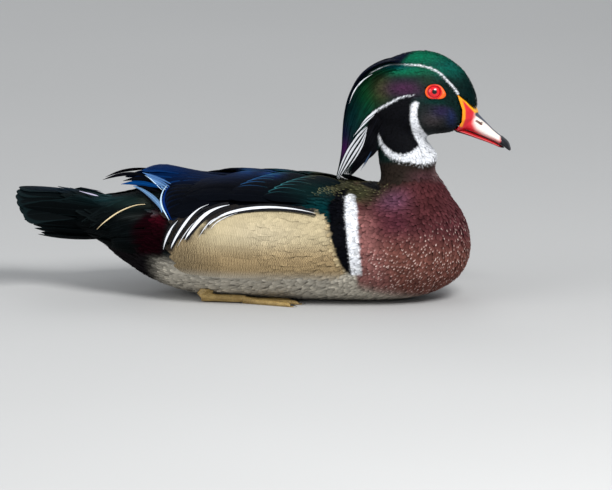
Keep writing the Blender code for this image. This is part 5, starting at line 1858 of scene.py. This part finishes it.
LAMPS = (("key", (0.9, -1.3, 1.5), 0.8, 48), ("fill", (-1.4, -1.2, 0.9), 1.4, 14),
         ("rim", (-0.5, 1.6, 1.3), 1.0, 6))  # place and size in metres, and power in watts


def make_stage():
    """A plain pale floor, soft daylight and three lamps."""
    floor = primitive(bpy.ops.mesh.primitive_plane_add, "studio_floor", size=8)
    finish = Finish("pale_floor", Roughness=0.85)
    cloud = finish.noise(0.6, 2.0)
    finish.drive(Base_Color=finish.mixed(cloud, (0.43, 0.43, 0.425, 1), (0.48, 0.48, 0.475, 1)))
    floor.data.materials.append(finish.material)
    world = bpy.data.worlds.new("studio")
    bpy.context.scene.world = world
    world.use_nodes = True
    sky = world.node_tree.nodes["Background"].inputs
    sky["Color"].default_value = (0.86, 0.90, 0.95, 1)
    sky["Strength"].default_value = 0.5
    for name, place, size, power in LAMPS:
        light = bpy.data.lights.new(name, "AREA")
        light.size = size
        light.energy = power
        lamp = bpy.data.objects.new(name, light)
        bpy.context.scene.collection.objects.link(lamp)
        lamp.location = place
        lamp.rotation_euler = (Vector((0, 0, 0.08)) - Vector(place)).to_track_quat("-Z", "Y").to_euler()


def make_camera():
    """The photograph's framing from a long way off, as its long lens has it."""
    right = (PICTURE_SIZE[0] / 2 - ORIGIN_PIXEL[0]) * PIXEL
    up = (ORIGIN_PIXEL[1] - PICTURE_SIZE[1] / 2) * PIXEL
    aim = CAMERA_RIGHT * right + CAMERA_UP * up
    away = PICTURE_SIZE[0] / 2 * PIXEL * LENS / (SENSOR / 2)
    camera = bpy.data.cameras.new("camera")
    camera.lens = LENS
    camera.sensor_width = SENSOR
    camera.clip_end = 50
    holder = bpy.data.objects.new("camera", camera)
    bpy.context.scene.collection.objects.link(holder)
    holder.location = Vector((aim + CAMERA_BACK * away) * MM)
    holder.rotation_euler = Vector(-CAMERA_BACK).to_track_quat("-Z", "Y").to_euler()
    bpy.context.scene.camera = holder
    bpy.context.scene.view_settings.view_transform = "Standard"


# root in these settings is how much darker each feather's root is painted, as shade where feathers overlap.
LONG_FEATHERS = {"shine": 0.14, "metal": 0.02, "root": 0.3, "mirror": 0.01}
PLUMAGE = {
    "head": {"barb": 0.12, "shine": 0.16, "metal": 0.2, "root": 0.3, "mirror": 0.06},
    "breast": {"use": "spot", "barb": 0.16, "rough": 0.7, "metal": 0.05, "mirror": 0.02},
    "body": {"barb": 0.16, "rough": 0.72, "metal": 0.1, "mirror": 0.15},
    "mantle": {"barb": 0.16, "rough": 0.66, "metal": 0.02, "mirror": 0.01},
    "wing": {"barb": 0.2, "shaft": 0.8, **LONG_FEATHERS},
    "flank": {"use": "lines", "barb": 0.05, "rough": 0.75, "metal": 0.0, "lines": 1.2, "root": 0.16},
    "tail": {"barb": 0.22, "shaft": 1.2, **LONG_FEATHERS},
}


def main():
    flesh_object = make_flesh()
    flesh = Surface(flesh_object)
    finishes = {part: plumage(part + "_plumage", **settings) for part, settings in PLUMAGE.items()}
    make_skin(flesh_object)
    coats = contour_coat(flesh, finishes)
    for label, side in SIDES.items():
        make_wing(label, side, flesh, coats.pop("wing_coat_" + label))
        make_flank(label, side, flesh, coats.pop("flank_coat_" + label))
        plumes = Coat("rump_plume_coat_" + label, finishes["tail"], "plumage_wing")
        make_rump_plumes(label, side, flesh, plumes)
        make_eye(label, side, flesh)
    make_shoulder_plumes(coats["mantle_coat"])
    for coat in coats.values():
        coat.make()
    make_tail(flesh, Coat("tail_coat", finishes["tail"], "plumage_wing"))
    down = painted_finish("crest_core")
    make_crest_core(down)
    make_gape(down)
    make_crest(Coat("crest_coat", finishes["head"], "plumage_head"))
    make_bill()
    feet, claw = scale_finish(), claw_finish()
    for label, side in SIDES.items():
        make_foot(label, side, feet, claw)
    bpy.data.objects.remove(flesh_object, do_unlink=True)
    make_stage()
    make_camera()


main()
